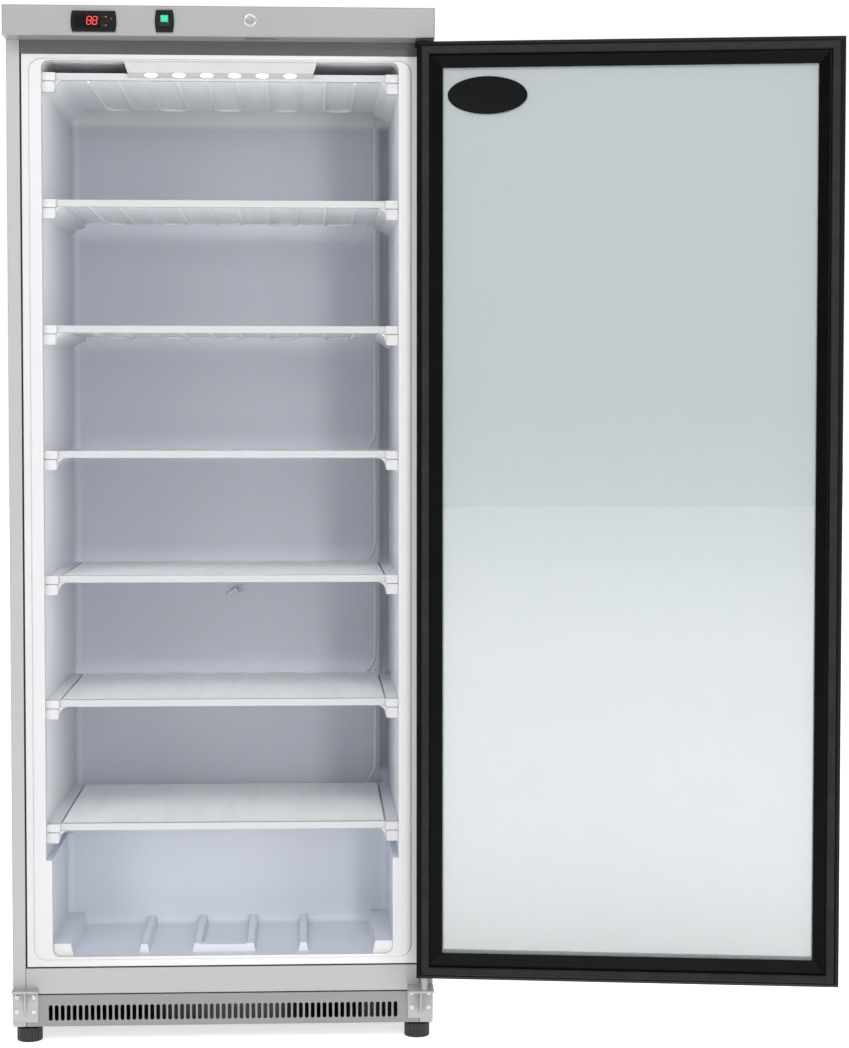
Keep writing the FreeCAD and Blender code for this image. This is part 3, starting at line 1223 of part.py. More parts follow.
def fan_impeller():
    """Five-bladed condenser fan."""
    centre = Vector(CONDENSER_X, FAN_START, FAN_Z)
    hub = rod(FAN_HUB_RADIUS, centre, Vector(0, 1, 0), FAN_DEPTH)
    bore_start = centre + Vector(0, -1, 0)
    bore = rod(FAN_SHAFT_RADIUS + RUNNING_CLEARANCE, bore_start, Vector(0, 1, 0), FAN_DEPTH + 2)
    blades = [hub]
    for i in range(FAN_BLADES):
        blade = box(-26, 26, -1.0, 1.0, FAN_HUB_RADIUS - 4, FAN_RADIUS)
        corners = [e for e in blade.Edges if abs(e.tangentAt(e.FirstParameter).y) > 0.9]
        blade = blade.makeFillet(14.0, [e for e in corners if e.Vertexes[0].Point.z > FAN_HUB_RADIUS])
        blade.rotate(Vector(0, 0, 0), Vector(0, 0, 1), 24.0)
        blade.rotate(Vector(0, 0, 0), Vector(0, 1, 0), 360.0 * i / FAN_BLADES)
        blade.translate(centre + Vector(0, FAN_DEPTH / 2, 0))
        blades.append(blade)
    return fused(blades).cut(bore)


def condenser_fan_motor():
    """Fan motor with its shaft, on a bracket that stands on the pan."""
    start = FAN_START + FAN_DEPTH + 3.0
    axis = Vector(0, 1, 0)
    body = rod(FAN_MOTOR_RADIUS, Vector(CONDENSER_X, start, FAN_Z), axis, FAN_MOTOR_LENGTH)
    shaft = rod(FAN_SHAFT_RADIUS, Vector(CONDENSER_X, FAN_START, FAN_Z), axis, FAN_DEPTH + 4.0)
    leg = box(CONDENSER_X - 20, CONDENSER_X + 20, start + 20, start + 23, PAN_TOP, FAN_Z)
    sole = box(CONDENSER_X - 30, CONDENSER_X + 30, start + 6, start + 40, PAN_TOP, PAN_TOP + 3)
    return fused([body, shaft, leg, sole])


PARTS = {
    "side_panel_right": side_panel,
    "side_panel_left": lambda: mirrored(side_panel()),
    "top_cover": top_cover,
    "back_panel": back_panel,
    "rear_cover": rear_cover,
    "cable_gland": cable_gland,
    "foam_insulation": foam_insulation,
    "inner_liner": inner_liner,
    "top_rail": top_rail,
    "sill_panel": lambda: folded_front(SILL_BOTTOM, FLANGE_BOTTOM - FLANGE_SILL_GAP),
    "plinth_grille": plinth_grille,
    "base_pan": base_pan,
    "control_panel": control_panel,
    "controller_body": controller_body,
    "controller_window": controller_window,
    "switch_body": switch_body,
    "switch_rocker": switch_rocker,
    "lock_barrel": lock_barrel,
    "lock_plug": lock_plug,
    "lock_cam": lock_cam,
    "lamp_valance": lamp_valance,
    "lamp_lenses": lamp_lenses,
    "shelf_clips": shelf_clips,
    "refrigerant_lines": refrigerant_lines,
    "sensor_probe": sensor_probe,
    "upper_hinge_bracket": upper_hinge_bracket,
    "lower_hinge_bracket": hinge_bracket,
    "lower_left_bracket": plain_bracket,
    "fixing_screws": fixing_screws,
    "compressor": compressor,
    "condenser": condenser,
    "condenser_fan_motor": condenser_fan_motor,
    "fan_impeller": fan_impeller,
    "door_frame": lambda: opened(door_frame()),
    "inner_glass": lambda: opened(door_pane(0.0)),
    "outer_glass": lambda: opened(door_pane(GLASS_THICKNESS + GLASS_SPACE)),
    "glass_spacer": lambda: opened(glass_spacer()),
    "door_gasket": lambda: opened(door_gasket()),
    "edge_pull": lambda: opened(edge_pull()),
}


def all_parts():
    """Every sub-part's shape under its name."""
    shapes = {name: make() for name, make in PARTS.items()}
    for number, top in enumerate(shelf_heights(), start=1):
        shapes[f"evaporator_shelf_{number}"] = evaporator_shelf(top)
        shapes[f"shelf_bar_{number}"] = shelf_bar(top)
    for name, x, z in button_places():
        shapes[name] = button(x, z)
    corner_names = ("front_left", "front_right", "rear_left", "rear_right")
    for corner, (x, y) in zip(corner_names, foot_places()):
        shapes[f"foot_{corner}"] = foot(x, y)
    return shapes


os.makedirs("parts", exist_ok=True)
for node, shape in all_parts().items():
    shape.exportStep(f"parts/{node}.step")
    print(f"{node}: {len(shape.Solids)} solids, valid {shape.isValid()}, {shape.Volume / 1000:.1f} cm3")
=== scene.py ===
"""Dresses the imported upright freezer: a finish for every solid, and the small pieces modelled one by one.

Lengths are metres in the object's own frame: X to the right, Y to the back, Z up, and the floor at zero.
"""

import logging
import math
from contextlib import contextmanager
from dataclasses import dataclass
from enum import Enum
from typing import Any, Callable, ClassVar, Iterator, Optional, Sequence, Union

import bmesh
import bpy
from mathutils import Matrix, Vector

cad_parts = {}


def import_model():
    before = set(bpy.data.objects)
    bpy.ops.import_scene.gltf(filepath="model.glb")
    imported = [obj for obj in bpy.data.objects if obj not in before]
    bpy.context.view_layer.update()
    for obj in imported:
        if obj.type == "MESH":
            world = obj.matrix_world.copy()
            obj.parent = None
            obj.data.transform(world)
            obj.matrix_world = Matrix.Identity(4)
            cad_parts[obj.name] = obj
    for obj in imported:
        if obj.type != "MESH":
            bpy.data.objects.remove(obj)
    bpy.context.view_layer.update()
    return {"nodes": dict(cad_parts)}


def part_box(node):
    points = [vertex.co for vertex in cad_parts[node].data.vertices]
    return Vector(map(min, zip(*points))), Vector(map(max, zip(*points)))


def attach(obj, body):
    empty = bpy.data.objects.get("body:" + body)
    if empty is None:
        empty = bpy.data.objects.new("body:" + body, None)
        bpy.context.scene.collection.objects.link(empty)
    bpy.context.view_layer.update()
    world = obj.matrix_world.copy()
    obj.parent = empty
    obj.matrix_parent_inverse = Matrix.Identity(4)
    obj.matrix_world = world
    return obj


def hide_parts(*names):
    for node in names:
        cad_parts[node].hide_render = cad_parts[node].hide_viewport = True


LOG = logging.getLogger("freezer")

Colour = tuple[float, float, float]
Triple = tuple[float, float, float]
Number = Union[float, "Wire"]
Socket = bpy.types.NodeSocket
Material = bpy.types.Material
Piece = bpy.types.Object

FRONT = -0.3175
PANEL_FACE = FRONT - 0.056
OPEN_TURN = math.radians(172.0)
SHELVES = 7


class Body(str, Enum):
    """Bodies that the pieces ride on."""

    CABINET = "cabinet"
    DOOR = "door"
    ROCKER = "rocker"


class Axis(Enum):
    """Directions that a turned piece can lie along."""

    Y = (0.0, 1.0, 0.0)
    Z = (0.0, 0.0, 1.0)


# --- shader arithmetic


class Wire:
    """Output socket that takes part in arithmetic."""

    def __init__(self, recipe: "Graph", socket: Socket) -> None:
        """Wraps a socket of a node tree.

        Args:
            recipe: The node tree that the socket belongs to.
            socket: The output socket.
        """
        self.recipe = recipe
        self.socket = socket

    def join(self, operation: str, first: Number, second: Number) -> "Wire":
        """Adds a Math node.

        Args:
            operation: The Math node's operation.
            first: Its first value.
            second: Its second value.

        Returns:
            The result.
        """
        node = self.recipe.node("ShaderNodeMath", {"operation": operation}, {0: first, 1: second})
        return Wire(self.recipe, node.outputs[0])

    def __add__(self, other: Number) -> "Wire":
        """Sum."""
        return self.join("ADD", self, other)

    def __radd__(self, other: Number) -> "Wire":
        """Sum with a number on the left."""
        return self.join("ADD", other, self)

    def __sub__(self, other: Number) -> "Wire":
        """Difference."""
        return self.join("SUBTRACT", self, other)

    def __rsub__(self, other: Number) -> "Wire":
        """Difference from a number on the left."""
        return self.join("SUBTRACT", other, self)

    def __mul__(self, other: Number) -> "Wire":
        """Product."""
        return self.join("MULTIPLY", self, other)

    def __rmul__(self, other: Number) -> "Wire":
        """Product with a number on the left."""
        return self.join("MULTIPLY", other, self)

    def above(self, edge: float, spread: float) -> "Wire":
        """Soft step.

        Args:
            edge: Value at the middle of the step.
            spread: Width of the step.

        Returns:
            0 below the step and 1 above it.
        """
        settings = {"interpolation_type": "SMOOTHSTEP", "clamp": True}
        sockets = {0: self, 1: edge - spread / 2, 2: edge + spread / 2, 3: 0.0, 4: 1.0}
        node = self.recipe.node("ShaderNodeMapRange", settings, sockets)
        return Wire(self.recipe, node.outputs[0])


class Graph:
    """Node tree that is filled by code."""

    def __init__(self, tree: bpy.types.NodeTree) -> None:
        """Empties a node tree.

        Args:
            tree: The tree.
        """
        self.tree = tree
        self.tree.nodes.clear()

    def node(
        self,
        kind: str,
        settings: Optional[dict[str, Any]] = None,
        sockets: Optional[dict[Union[int, str], Any]] = None,
    ) -> bpy.types.Node:
        """Adds a node.

        Args:
            kind: The node's type.
            settings: Its properties, set before its sockets; "stops" fills a colour ramp.
            sockets: Values or links of its inputs.

        Returns:
            The node.
        """
        node = self.tree.nodes.new(kind)
        for key, value in (settings or {}).items():
            if key == "stops":
                self.fill_ramp(node, value)
            else:
                setattr(node, key, value)
        for key, value in (sockets or {}).items():
            self.feed(node.inputs[key], value)
        return node

    @staticmethod
    def fill_ramp(node: bpy.types.Node, stops: Sequence[tuple[float, Colour]]) -> None:
        """Fills a colour ramp.

        Args:
            node: The ramp.
            stops: Positions and colours.
        """
        elements = node.color_ramp.elements
        while len(elements) < len(stops):
            elements.new(0.5)
        for element, (position, colour) in zip(elements, stops):
            element.position = position
            element.color = (*colour, 1.0)

    def feed(self, socket: Socket, value: Any) -> None:
        """Links or sets one input.

        Args:
            socket: The input.
            value: A wire, a socket, a number, a colour or a vector.
        """
        if isinstance(value, Wire):
            self.tree.links.new(value.socket, socket)
        elif isinstance(value, Socket):
            self.tree.links.new(value, socket)
        elif socket.type == "RGBA" and len(value) == 3:
            socket.default_value = (*value, 1.0)
        else:
            socket.default_value = value

    def wire(self, socket: Socket) -> Wire:
        """Wraps an output."""
        return Wire(self, socket)


class Recipe(Graph):
    """Node tree of one material."""

    def __init__(self, name: str) -> None:
        """Starts an empty material.

        Args:
            name: Name of the material.
        """
        self.material = bpy.data.materials.new(name)
        self.material.use_nodes = True
        super().__init__(self.material.node_tree)
        self.output = self.node("ShaderNodeOutputMaterial")
        self.place = self.node("ShaderNodeTexCoord").outputs["Object"]

    def stretched(self, stretch: Triple) -> Socket:
        """Object coordinates stretched along the axes."""
        sockets = {0: self.place, 1: stretch}
        return self.node("ShaderNodeVectorMath", {"operation": "MULTIPLY"}, sockets).outputs[0]

    def axis(self, index: int) -> Wire:
        """One of the object coordinates.

        Args:
            index: 0 for X, 1 for Y and 2 for Z.

        Returns:
            The coordinate.
        """
        return self.wire(self.node("ShaderNodeSeparateXYZ", None, {0: self.place}).outputs[index])

    def noise(self, scale: float, detail: float = 2.0, stretch: Triple = (1.0, 1.0, 1.0)) -> Wire:
        """Noise over the object.

        Args:
            scale: Waves per metre, roughly.
            detail: Octaves.
            stretch: Factor along each axis.

        Returns:
            The noise, about 0.5 on average.
        """
        sockets = {"Vector": self.stretched(stretch), "Scale": scale, "Detail": detail}
        return self.wire(self.node("ShaderNodeTexNoise", None, sockets).outputs[0])

    def cells(self, scale: float) -> Wire:
        """Voronoi cells, each with a random value."""
        sockets = {"Vector": self.place, "Scale": scale}
        return self.wire(self.node("ShaderNodeTexVoronoi", None, sockets).outputs["Color"])

    def blend(self, factor: Number, first: Any, second: Any) -> Socket:
        """Mixes two colours.

        Args:
            factor: Share of the second colour.
            first: A colour or a link.
            second: A colour or a link.

        Returns:
            The mixed colour.
        """
        node = self.node("ShaderNodeMix", {"data_type": "RGBA"}, {0: factor, 6: first, 7: second})
        return node.outputs[2]

    def soft_normal(self, radius: float) -> Socket:
        """Normal that rounds the edges by a radius."""
        return self.node("ShaderNodeBevel", {"samples": 4}, {"Radius": radius}).outputs[0]

    def edges(self, radius: float, gain: float) -> Wire:
        """Mask of the object's edges.

        Args:
            radius: How far from an edge the mask reaches.
            gain: Strength.

        Returns:
            0 on flat faces and up to 1 at edges.
        """
        flat = self.node("ShaderNodeNewGeometry").outputs["True Normal"]
        sockets = {0: self.soft_normal(radius), 1: flat}
        dot = self.node("ShaderNodeVectorMath", {"operation": "DOT_PRODUCT"}, sockets).outputs["Value"]
        return ((1.0 - self.wire(dot)) * gain).above(0.5, 1.0)

    def relief(self, height: Wire, depth: float, edge: float) -> Socket:
        """Bump over softened edges.

        Args:
            height: The height.
            depth: Height of 1, in metres.
            edge: Radius of the edges.

        Returns:
            The bumped normal.
        """
        sockets = {"Height": height, "Strength": 1.0, "Distance": depth, "Normal": self.soft_normal(edge)}
        return self.node("ShaderNodeBump", None, sockets).outputs[0]

    def surface(self, **sockets: Any) -> Material:
        """Ends the recipe in a Principled shader.

        Args:
            **sockets: Its inputs, with underscores for spaces.

        Returns:
            The finished material.
        """
        named = {key.replace("_", " "): value for key, value in sockets.items()}
        shader = self.node("ShaderNodeBsdfPrincipled", None, named)
        self.tree.links.new(shader.outputs[0], self.output.inputs[0])
        return self.material


# --- finishes


def shade(colour: Colour, factor: float) -> Colour:
    """Colour made darker or lighter.

    Args:
        colour: The colour.
        factor: What it is multiplied by.

    Returns:
        The new colour.
    """
    return (min(colour[0] * factor, 1.0), min(colour[1] * factor, 1.0), min(colour[2] * factor, 1.0))


@dataclass(frozen=True)
class Finish:
    """Finish of a surface, made once and shared."""

    name: str
    colour: Colour

    def made(self) -> Material:
        """Returns the material, building it the first time."""
        found = bpy.data.materials.get("finish_" + self.name)
        return found or self.build(Recipe("finish_" + self.name))

    def build(self, recipe: Recipe) -> Material:
        """Builds the material.

        Args:
            recipe: An empty recipe.

        Returns:
            The material.
        """
        raise NotImplementedError


Plan = dict[Finish, Sequence[str]]


@dataclass(frozen=True)
class PowderCoat(Finish):
    """Baked enamel on sheet steel: faint orange peel, soft edges and a thin film of handling marks."""

    roughness: float = 0.36
    peel: float = 0.00003
    edge: float = 0.0009
    coat: float = 0.25

    def build(self, recipe: Recipe) -> Material:
        """Builds the enamel.

        Args:
            recipe: An empty recipe.

        Returns:
            The material.
        """
        cloud = recipe.noise(2.2, 3.0)
        smear = recipe.noise(9.0, 4.0, (1.0, 1.0, 0.35))
        worn = recipe.edges(self.edge * 0.8, 2.2)
        base = recipe.blend(cloud, shade(self.colour, 0.975), shade(self.colour, 1.02))
        base = recipe.blend(worn * 0.25, base, shade(self.colour, 1.16))
        peel = recipe.noise(620.0, 1.0) + recipe.noise(160.0, 1.0) * 0.8
        return recipe.surface(
            Base_Color=base,
            Roughness=self.roughness - 0.05 + smear * 0.1,
            Coat_Weight=self.coat,
            Coat_Roughness=0.16,
            Normal=recipe.relief(peel, self.peel, self.edge),
        )


@dataclass(frozen=True)
class MouldedPlastic(Finish):
    """Injection-moulded plastic with a fine grain."""

    roughness: float = 0.42
    grain: float = 0.00002
    grain_scale: float = 1400.0
    edge: float = 0.0005
    gloss: float = 0.5

    def build(self, recipe: Recipe) -> Material:
        """Builds the plastic.

        Args:
            recipe: An empty recipe.

        Returns:
            The material.
        """
        drift = recipe.noise(28.0, 3.0)
        worn = recipe.edges(self.edge, 2.0)
        base = recipe.blend(drift, shade(self.colour, 0.94), shade(self.colour, 1.05))
        base = recipe.blend(worn * 0.3, base, shade(self.colour, 1.3))
        grain = recipe.noise(self.grain_scale, 2.0)
        return recipe.surface(
            Base_Color=base,
            Roughness=self.roughness - 0.06 + drift * 0.12,
            Specular_IOR_Level=self.gloss,
            Normal=recipe.relief(grain, self.grain, self.edge),
        )


@dataclass(frozen=True)
class FormedLiner(Finish):
    """Vacuum-formed liner: satin skin and a slow ripple where the sheet stretched, with painted shade and
    painted light laid into its colour inside the cavity.
    """

    # deep is the colour of the painted shade at the back of the cavity.
    deep: Colour = (0.66, 0.69, 0.77)
    # rim is the front flange's colour: the same skin in a darker tone, painted down against the light that
    # falls on the front.
    rim: Colour = (0.53, 0.53, 0.54)
    roughness: float = 0.38

    def build(self, recipe: Recipe) -> Material:
        """Builds the liner's skin.

        Args:
            recipe: An empty recipe.

        Returns:
            The material.
        """
        depth = recipe.axis(1).above(0.0, 0.62)
        height_of = recipe.axis(2)
        height = height_of.above(1.0, 1.9)
        cloud = recipe.noise(3.0, 3.0)
        # Painted shade: the skin turns darker and bluer towards the back of the cavity.
        base = recipe.blend(depth, self.colour, self.deep)
        # Painted shade: darker still higher up at the back of the cavity.
        base = recipe.blend(depth * height * 0.45, base, shade(self.deep, 0.82))
        # Painted shadow: a dark band in the right rear corner of every compartment above the bottom one,
        # behind the pipes.
        corner = recipe.axis(0).above(0.306, 0.008) * recipe.axis(1).above(0.236, 0.014)
        base = recipe.blend(corner * height_of.above(0.42, 0.02) * 0.62, base, shade(self.deep, 0.3))
        # Painted shade: below 0.4 m the bottom compartment takes a slightly shaded copy of the deep tone.
        base = recipe.blend(1.0 - height_of.above(0.40, 0.05), base, shade(self.deep, 0.93))
        # Painted light: above 1.755 m, in the recesses beside the lamp, the skin goes back to its plain
        # lighter colour.
        base = recipe.blend(height_of.above(1.755, 0.02), base, self.colour)
        # Painted light and shade on the front flange: darker on the left, lighter on the right.
        rim = recipe.blend(recipe.axis(0).above(-0.34, 0.68), shade(self.rim, 0.80), shade(self.rim, 1.14))
        base = recipe.blend(1.0 - recipe.axis(1).above(FRONT + 0.010, 0.012), base, rim)
        base = recipe.blend(cloud * 0.12, base, shade(self.colour, 0.9))
        ripple = recipe.noise(11.0, 1.0) * 6.0 + recipe.noise(520.0, 1.0)
        return recipe.surface(
            Base_Color=base,
            Roughness=self.roughness + cloud * 0.1,
            Coat_Weight=0.12,
            Coat_Roughness=0.25,
            Normal=recipe.relief(ripple, 0.00003, 0.0022),
        )


@dataclass(frozen=True)
class ColdPlate(Finish):
    """White coated shelf plate, drawn slightly into waves by the tube that is soldered underneath."""

    pitch: float = 0.0549

    def build(self, recipe: Recipe) -> Material:
        """Builds the plate's coating.

        Args:
            recipe: An empty recipe.

        Returns:
            The material.
        """
        phase = recipe.axis(0) * (2 * math.pi / self.pitch)
        wave = phase.join("SINE", phase, 0.0)
        cloud = recipe.noise(7.0, 4.0)
        streak = recipe.noise(30.0, 3.0, (1.0, 0.06, 1.0))
        base = recipe.blend(cloud, shade(self.colour, 0.94), self.colour)
        base = recipe.blend(streak.above(0.56, 0.2) * 0.35, base, shade(self.colour, 0.86))
        height = wave * 0.5 + cloud * 1.2 + streak * 0.5
        return recipe.surface(
            Base_Color=base,
            Roughness=0.32 + cloud * 0.16,
            Coat_Weight=0.15,
            Coat_Roughness=0.2,
            Normal=recipe.relief(height, 0.0006, 0.0006),
        )


@dataclass(frozen=True)
class ZincSheet(Finish):
    """Galvanised sheet with its spangle."""

    def build(self, recipe: Recipe) -> Material:
        """Builds the zinc.

        Args:
            recipe: An empty recipe.

        Returns:
            The material.
        """
        spangle = recipe.cells(95.0)
        film = recipe.noise(6.0, 4.0)
        base = recipe.blend(spangle, shade(self.colour, 0.82), shade(self.colour, 1.1))
        base = recipe.blend(film.above(0.6, 0.3) * 0.3, base, shade(self.colour, 0.75))
        return recipe.surface(
            Base_Color=base,
            Metallic=0.8,
            Roughness=0.36 + spangle * 0.16,
            Normal=recipe.relief(spangle, 0.00002, 0.0006),
        )


@dataclass(frozen=True)
class DarkCoat(Finish):
    """Black profile or seal: fine lines along its length, dust, and worn edges painted lighter, which also
    stands as a painted highlight along the edges.
    """

    roughness: float = 0.24
    unevenness: tuple[float, float] = (0.12, 0.03)
    lines: tuple[float, float, Triple] = (420.0, 1.0, (1.0, 1.0, 0.01))
    depth: float = 0.000012
    edge: float = 0.0011
    dust: tuple[float, float] = (26.0, 5.0)
    dust_step: tuple[float, float] = (0.62, 0.3)
    dusty: tuple[float, float] = (0.35, 2.2)
    edge_wear_and_highlight: float = 0.55
    gloss: float = 0.06

    def build(self, recipe: Recipe) -> Material:
        """Builds the coat.

        Args:
            recipe: An empty recipe.

        Returns:
            The material.
        """
        line = recipe.noise(*self.lines)
        dust = recipe.noise(*self.dust)
        share, lighter = self.dusty
        base = recipe.blend(dust.above(*self.dust_step) * share, self.colour, shade(self.colour, lighter))
        # Edges painted lighter: wear, and a painted highlight along the profile's bevels.
        base = recipe.blend(recipe.edges(0.0011, 2.4) * self.edge_wear_and_highlight, base, (0.06, 0.06, 0.063))
        return recipe.surface(
            Base_Color=base,
            Roughness=self.roughness + dust * self.unevenness[0] + line * self.unevenness[1],
            Specular_IOR_Level=self.gloss,
            Normal=recipe.relief(line, self.depth, self.edge),
        )


@dataclass(frozen=True)
class DoorGlass(Finish):
    """Coated float glass with a painted reflection of the room: grey-blue at the top, lighter in the lower
    half of the door, with painted shade near its bottom edge.
    """

    # Colours and alphas of the painted reflection; low is its lighter lower half.
    low: Colour = (0.448, 0.495, 0.509)
    clear: float = 0.28
    top_alpha: float = 0.40

    def build(self, recipe: Recipe) -> Material:
        """Builds the glass.

        Args:
            recipe: An empty recipe.

        Returns:
            The material.
        """
        wipe = recipe.noise(3.0, 3.0, (1.0, 1.0, 0.5))
        # Painted shade along the bottom edge, then the painted reflection from its light lower half to its
        # grey-blue top.
        bottom_shade_stops = [(0.10, shade(self.low, 0.77)), (0.15, shade(self.low, 0.90))]
        stops = bottom_shade_stops + [(0.22, self.low), (0.36, self.low), (0.60, self.colour)]
        painted_reflection = recipe.node("ShaderNodeValToRGB", {"stops": stops}, {0: recipe.axis(2) * 0.5}).outputs[0]
        base = recipe.blend(wipe * 0.05, painted_reflection, self.colour)
        return recipe.surface(
            Base_Color=base,
            Roughness=0.03 + wipe.above(0.6, 0.3) * 0.03,
            IOR=1.5,
            # Alpha rises towards the top, where the painted reflection is grey-blue.
            Alpha=recipe.axis(2).above(0.95, 0.5) * (self.top_alpha - self.clear) + self.clear,
        )


@dataclass(frozen=True)
class BareMetal(Finish):
    """Bare, plated or polished metal."""

    roughness: float = 0.2
    brush: Triple = (1.0, 1.0, 1.0)
    depth: float = 0.000006
    edge: float = 0.0004

    def build(self, recipe: Recipe) -> Material:
        """Builds the metal.

        Args:
            recipe: An empty recipe.

        Returns:
            The material.
        """
        grain = recipe.noise(900.0, 2.0, self.brush)
        tarnish = recipe.noise(60.0, 3.0)
        base = recipe.blend(tarnish, shade(self.colour, 0.88), shade(self.colour, 1.06))
        return recipe.surface(
            Base_Color=base,
            Metallic=1.0,
            Roughness=self.roughness + tarnish * 0.1 + grain * 0.05,
            Normal=recipe.relief(grain, self.depth, self.edge),
        )


@dataclass(frozen=True)
class RigidFoam(Finish):
    """Cut polyurethane foam, painted black as shade where it shows through the front joints and in the air
    duct behind the grille.
    """

    def build(self, recipe: Recipe) -> Material:
        """Builds the foam.

        Args:
            recipe: An empty recipe.

        Returns:
            The material.
        """
        cells = recipe.cells(420.0)
        age = recipe.noise(5.0, 3.0)
        base = recipe.blend(cells * 0.4, self.colour, shade(self.colour, 0.8))
        base = recipe.blend(age * 0.3, base, shade(self.colour, 0.85))
        # Painted shade: black in the front joints and in the air duct, below 0.13 m.
        duct_and_joint_shade = (0.012, 0.012, 0.013)
        base = recipe.blend(1.0 - recipe.axis(1).above(FRONT + 0.012, 0.002), base, duct_and_joint_shade)
        base = recipe.blend(1.0 - recipe.axis(2).above(0.130, 0.002), base, duct_and_joint_shade)
        return recipe.surface(Base_Color=base, Roughness=0.85, Normal=recipe.relief(cells, 0.0002, 0.0))


@dataclass(frozen=True)
class Glow(Finish):
    """Lit plastic: a lamp lens, a digit, or a window that is lit in its middle alone."""

    strength: float = 4.0
    noise: tuple[float, float] = (240.0, 1.0)
    spread: float = 0.25
    roughness: float = 0.25
    gloss: float = 0.5
    middle: Triple = (0.0, 0.0, 0.0)
    half: Triple = (9.0, 9.0, 9.0)
    fade: float = 0.0014

    def build(self, recipe: Recipe) -> Material:
        """Builds the lit plastic.

        Args:
            recipe: An empty recipe.

        Returns:
            The material.
        """
        inside: Number = 1.0
        for index in (0, 2):
            place = recipe.axis(index) - self.middle[index]
            reach = self.half[index]
            inside = place.above(-reach, self.fade) * (1.0 - place.above(reach, self.fade)) * inside
        uneven = recipe.noise(*self.noise)
        lit = recipe.blend(uneven * self.spread, self.colour, shade(self.colour, 0.6))
        return recipe.surface(
            Base_Color=recipe.blend(inside, shade(self.colour, 0.12), self.colour),
            Roughness=self.roughness + uneven * 0.1,
            Specular_IOR_Level=self.gloss,
            Emission_Color=recipe.blend(inside, (0.0, 0.0, 0.0), lit),
            Emission_Strength=self.strength,
        )


CASE = PowderCoat("case_enamel", (0.35, 0.35, 0.354))
# The plinth takes a darker copy of the case enamel, which paints the shade that falls on it.
PLINTH = PowderCoat("plinth_enamel", (0.21, 0.21, 0.213))
PANEL = PowderCoat("panel_enamel", (0.262, 0.262, 0.264))
RAIL = PowderCoat("rail_enamel", (0.085, 0.085, 0.087), roughness=0.3)
LINER = FormedLiner("liner_skin", (0.84, 0.85, 0.87))
PLATE = ColdPlate("plate_coating", (0.97, 0.985, 0.99))
BAR = PowderCoat("bar_enamel", (0.47, 0.47, 0.48), roughness=0.3, coat=0.2)
PIPE = PowderCoat("pipe_coating", (0.70, 0.73, 0.78), roughness=0.3)
ZINC = ZincSheet("zinc_sheet", (0.62, 0.63, 0.65))
WHITE = MouldedPlastic("white_plastic", (0.54, 0.54, 0.555), roughness=0.35)
VALANCE = MouldedPlastic("valance_plastic", (0.45, 0.45, 0.46), roughness=0.4)
BLACK = MouldedPlastic("black_plastic", (0.012, 0.012, 0.013), roughness=0.4, gloss=0.2)
BEZEL = MouldedPlastic("bezel_plastic", (0.004, 0.0045, 0.0045), roughness=0.25, grain=0.000006, gloss=0.2)
SMOKED = MouldedPlastic("smoked_window", (0.006, 0.005, 0.005), roughness=0.1, grain=0.0, gloss=0.3)
SWITCH = MouldedPlastic("switch_plastic", (0.003, 0.004, 0.004), roughness=0.3, grain=0.00001, gloss=0.2)
FOOT = MouldedPlastic("foot_rubber", (0.013, 0.013, 0.014), roughness=0.45, grain=0.00005)
FRAME = DarkCoat("door_profile", (0.0022, 0.0022, 0.0025))
SEAL = DarkCoat(
    "door_seal", (0.010, 0.010, 0.011), roughness=0.5, unevenness=(0.2, 0.0),
    lines=(900.0, 2.0, (1.0, 1.0, 1.0)), depth=0.00003, edge=0.0008, dust=(34.0, 4.0),
    dust_step=(0.55, 0.4), dusty=(0.6, 2.0), edge_wear_and_highlight=0.0, gloss=0.15,
)
# The door glass's colours are a painted reflection of the room.
GLASS = DoorGlass("door_glass", (0.390, 0.436, 0.453))
CHROME = BareMetal("lock_chrome", (0.80, 0.80, 0.81), roughness=0.08)
STEEL = BareMetal("brushed_pull", (0.52, 0.52, 0.53), roughness=0.26, brush=(1.0, 1.0, 0.05))
SCREW = BareMetal("zinc_screw", (0.60, 0.60, 0.60), roughness=0.22)
FINS = BareMetal("fin_stock", (0.66, 0.68, 0.70), roughness=0.3)
SPACER = BareMetal("spacer_bar", (0.035, 0.035, 0.036), roughness=0.4)
FOAM = RigidFoam("rigid_foam", (0.74, 0.66, 0.46))
LENS = Glow("lamp_lens", (0.97, 0.98, 1.0), strength=1.3)
DIGIT = Glow("red_digit", (0.80, 0.025, 0.035), strength=0.7)
GREEN = Glow(
    "green_window", (0.025, 0.46, 0.22), strength=0.28, noise=(260.0, 2.0), spread=0.4,
    roughness=0.2, gloss=0.3, middle=(-0.098, 0.0, 1.8728), half=(0.0062, 9.0, 0.0080),
)
MARK = MouldedPlastic("key_print", (0.50, 0.16, 0.12), roughness=0.5)
SHELL = PowderCoat("compressor_paint", (0.012, 0.012, 0.013), roughness=0.45)
OVAL = MouldedPlastic("oval_plate", (0.004, 0.004, 0.0045), roughness=0.5, grain=0.00001, gloss=0.05)


# --- modelling bench


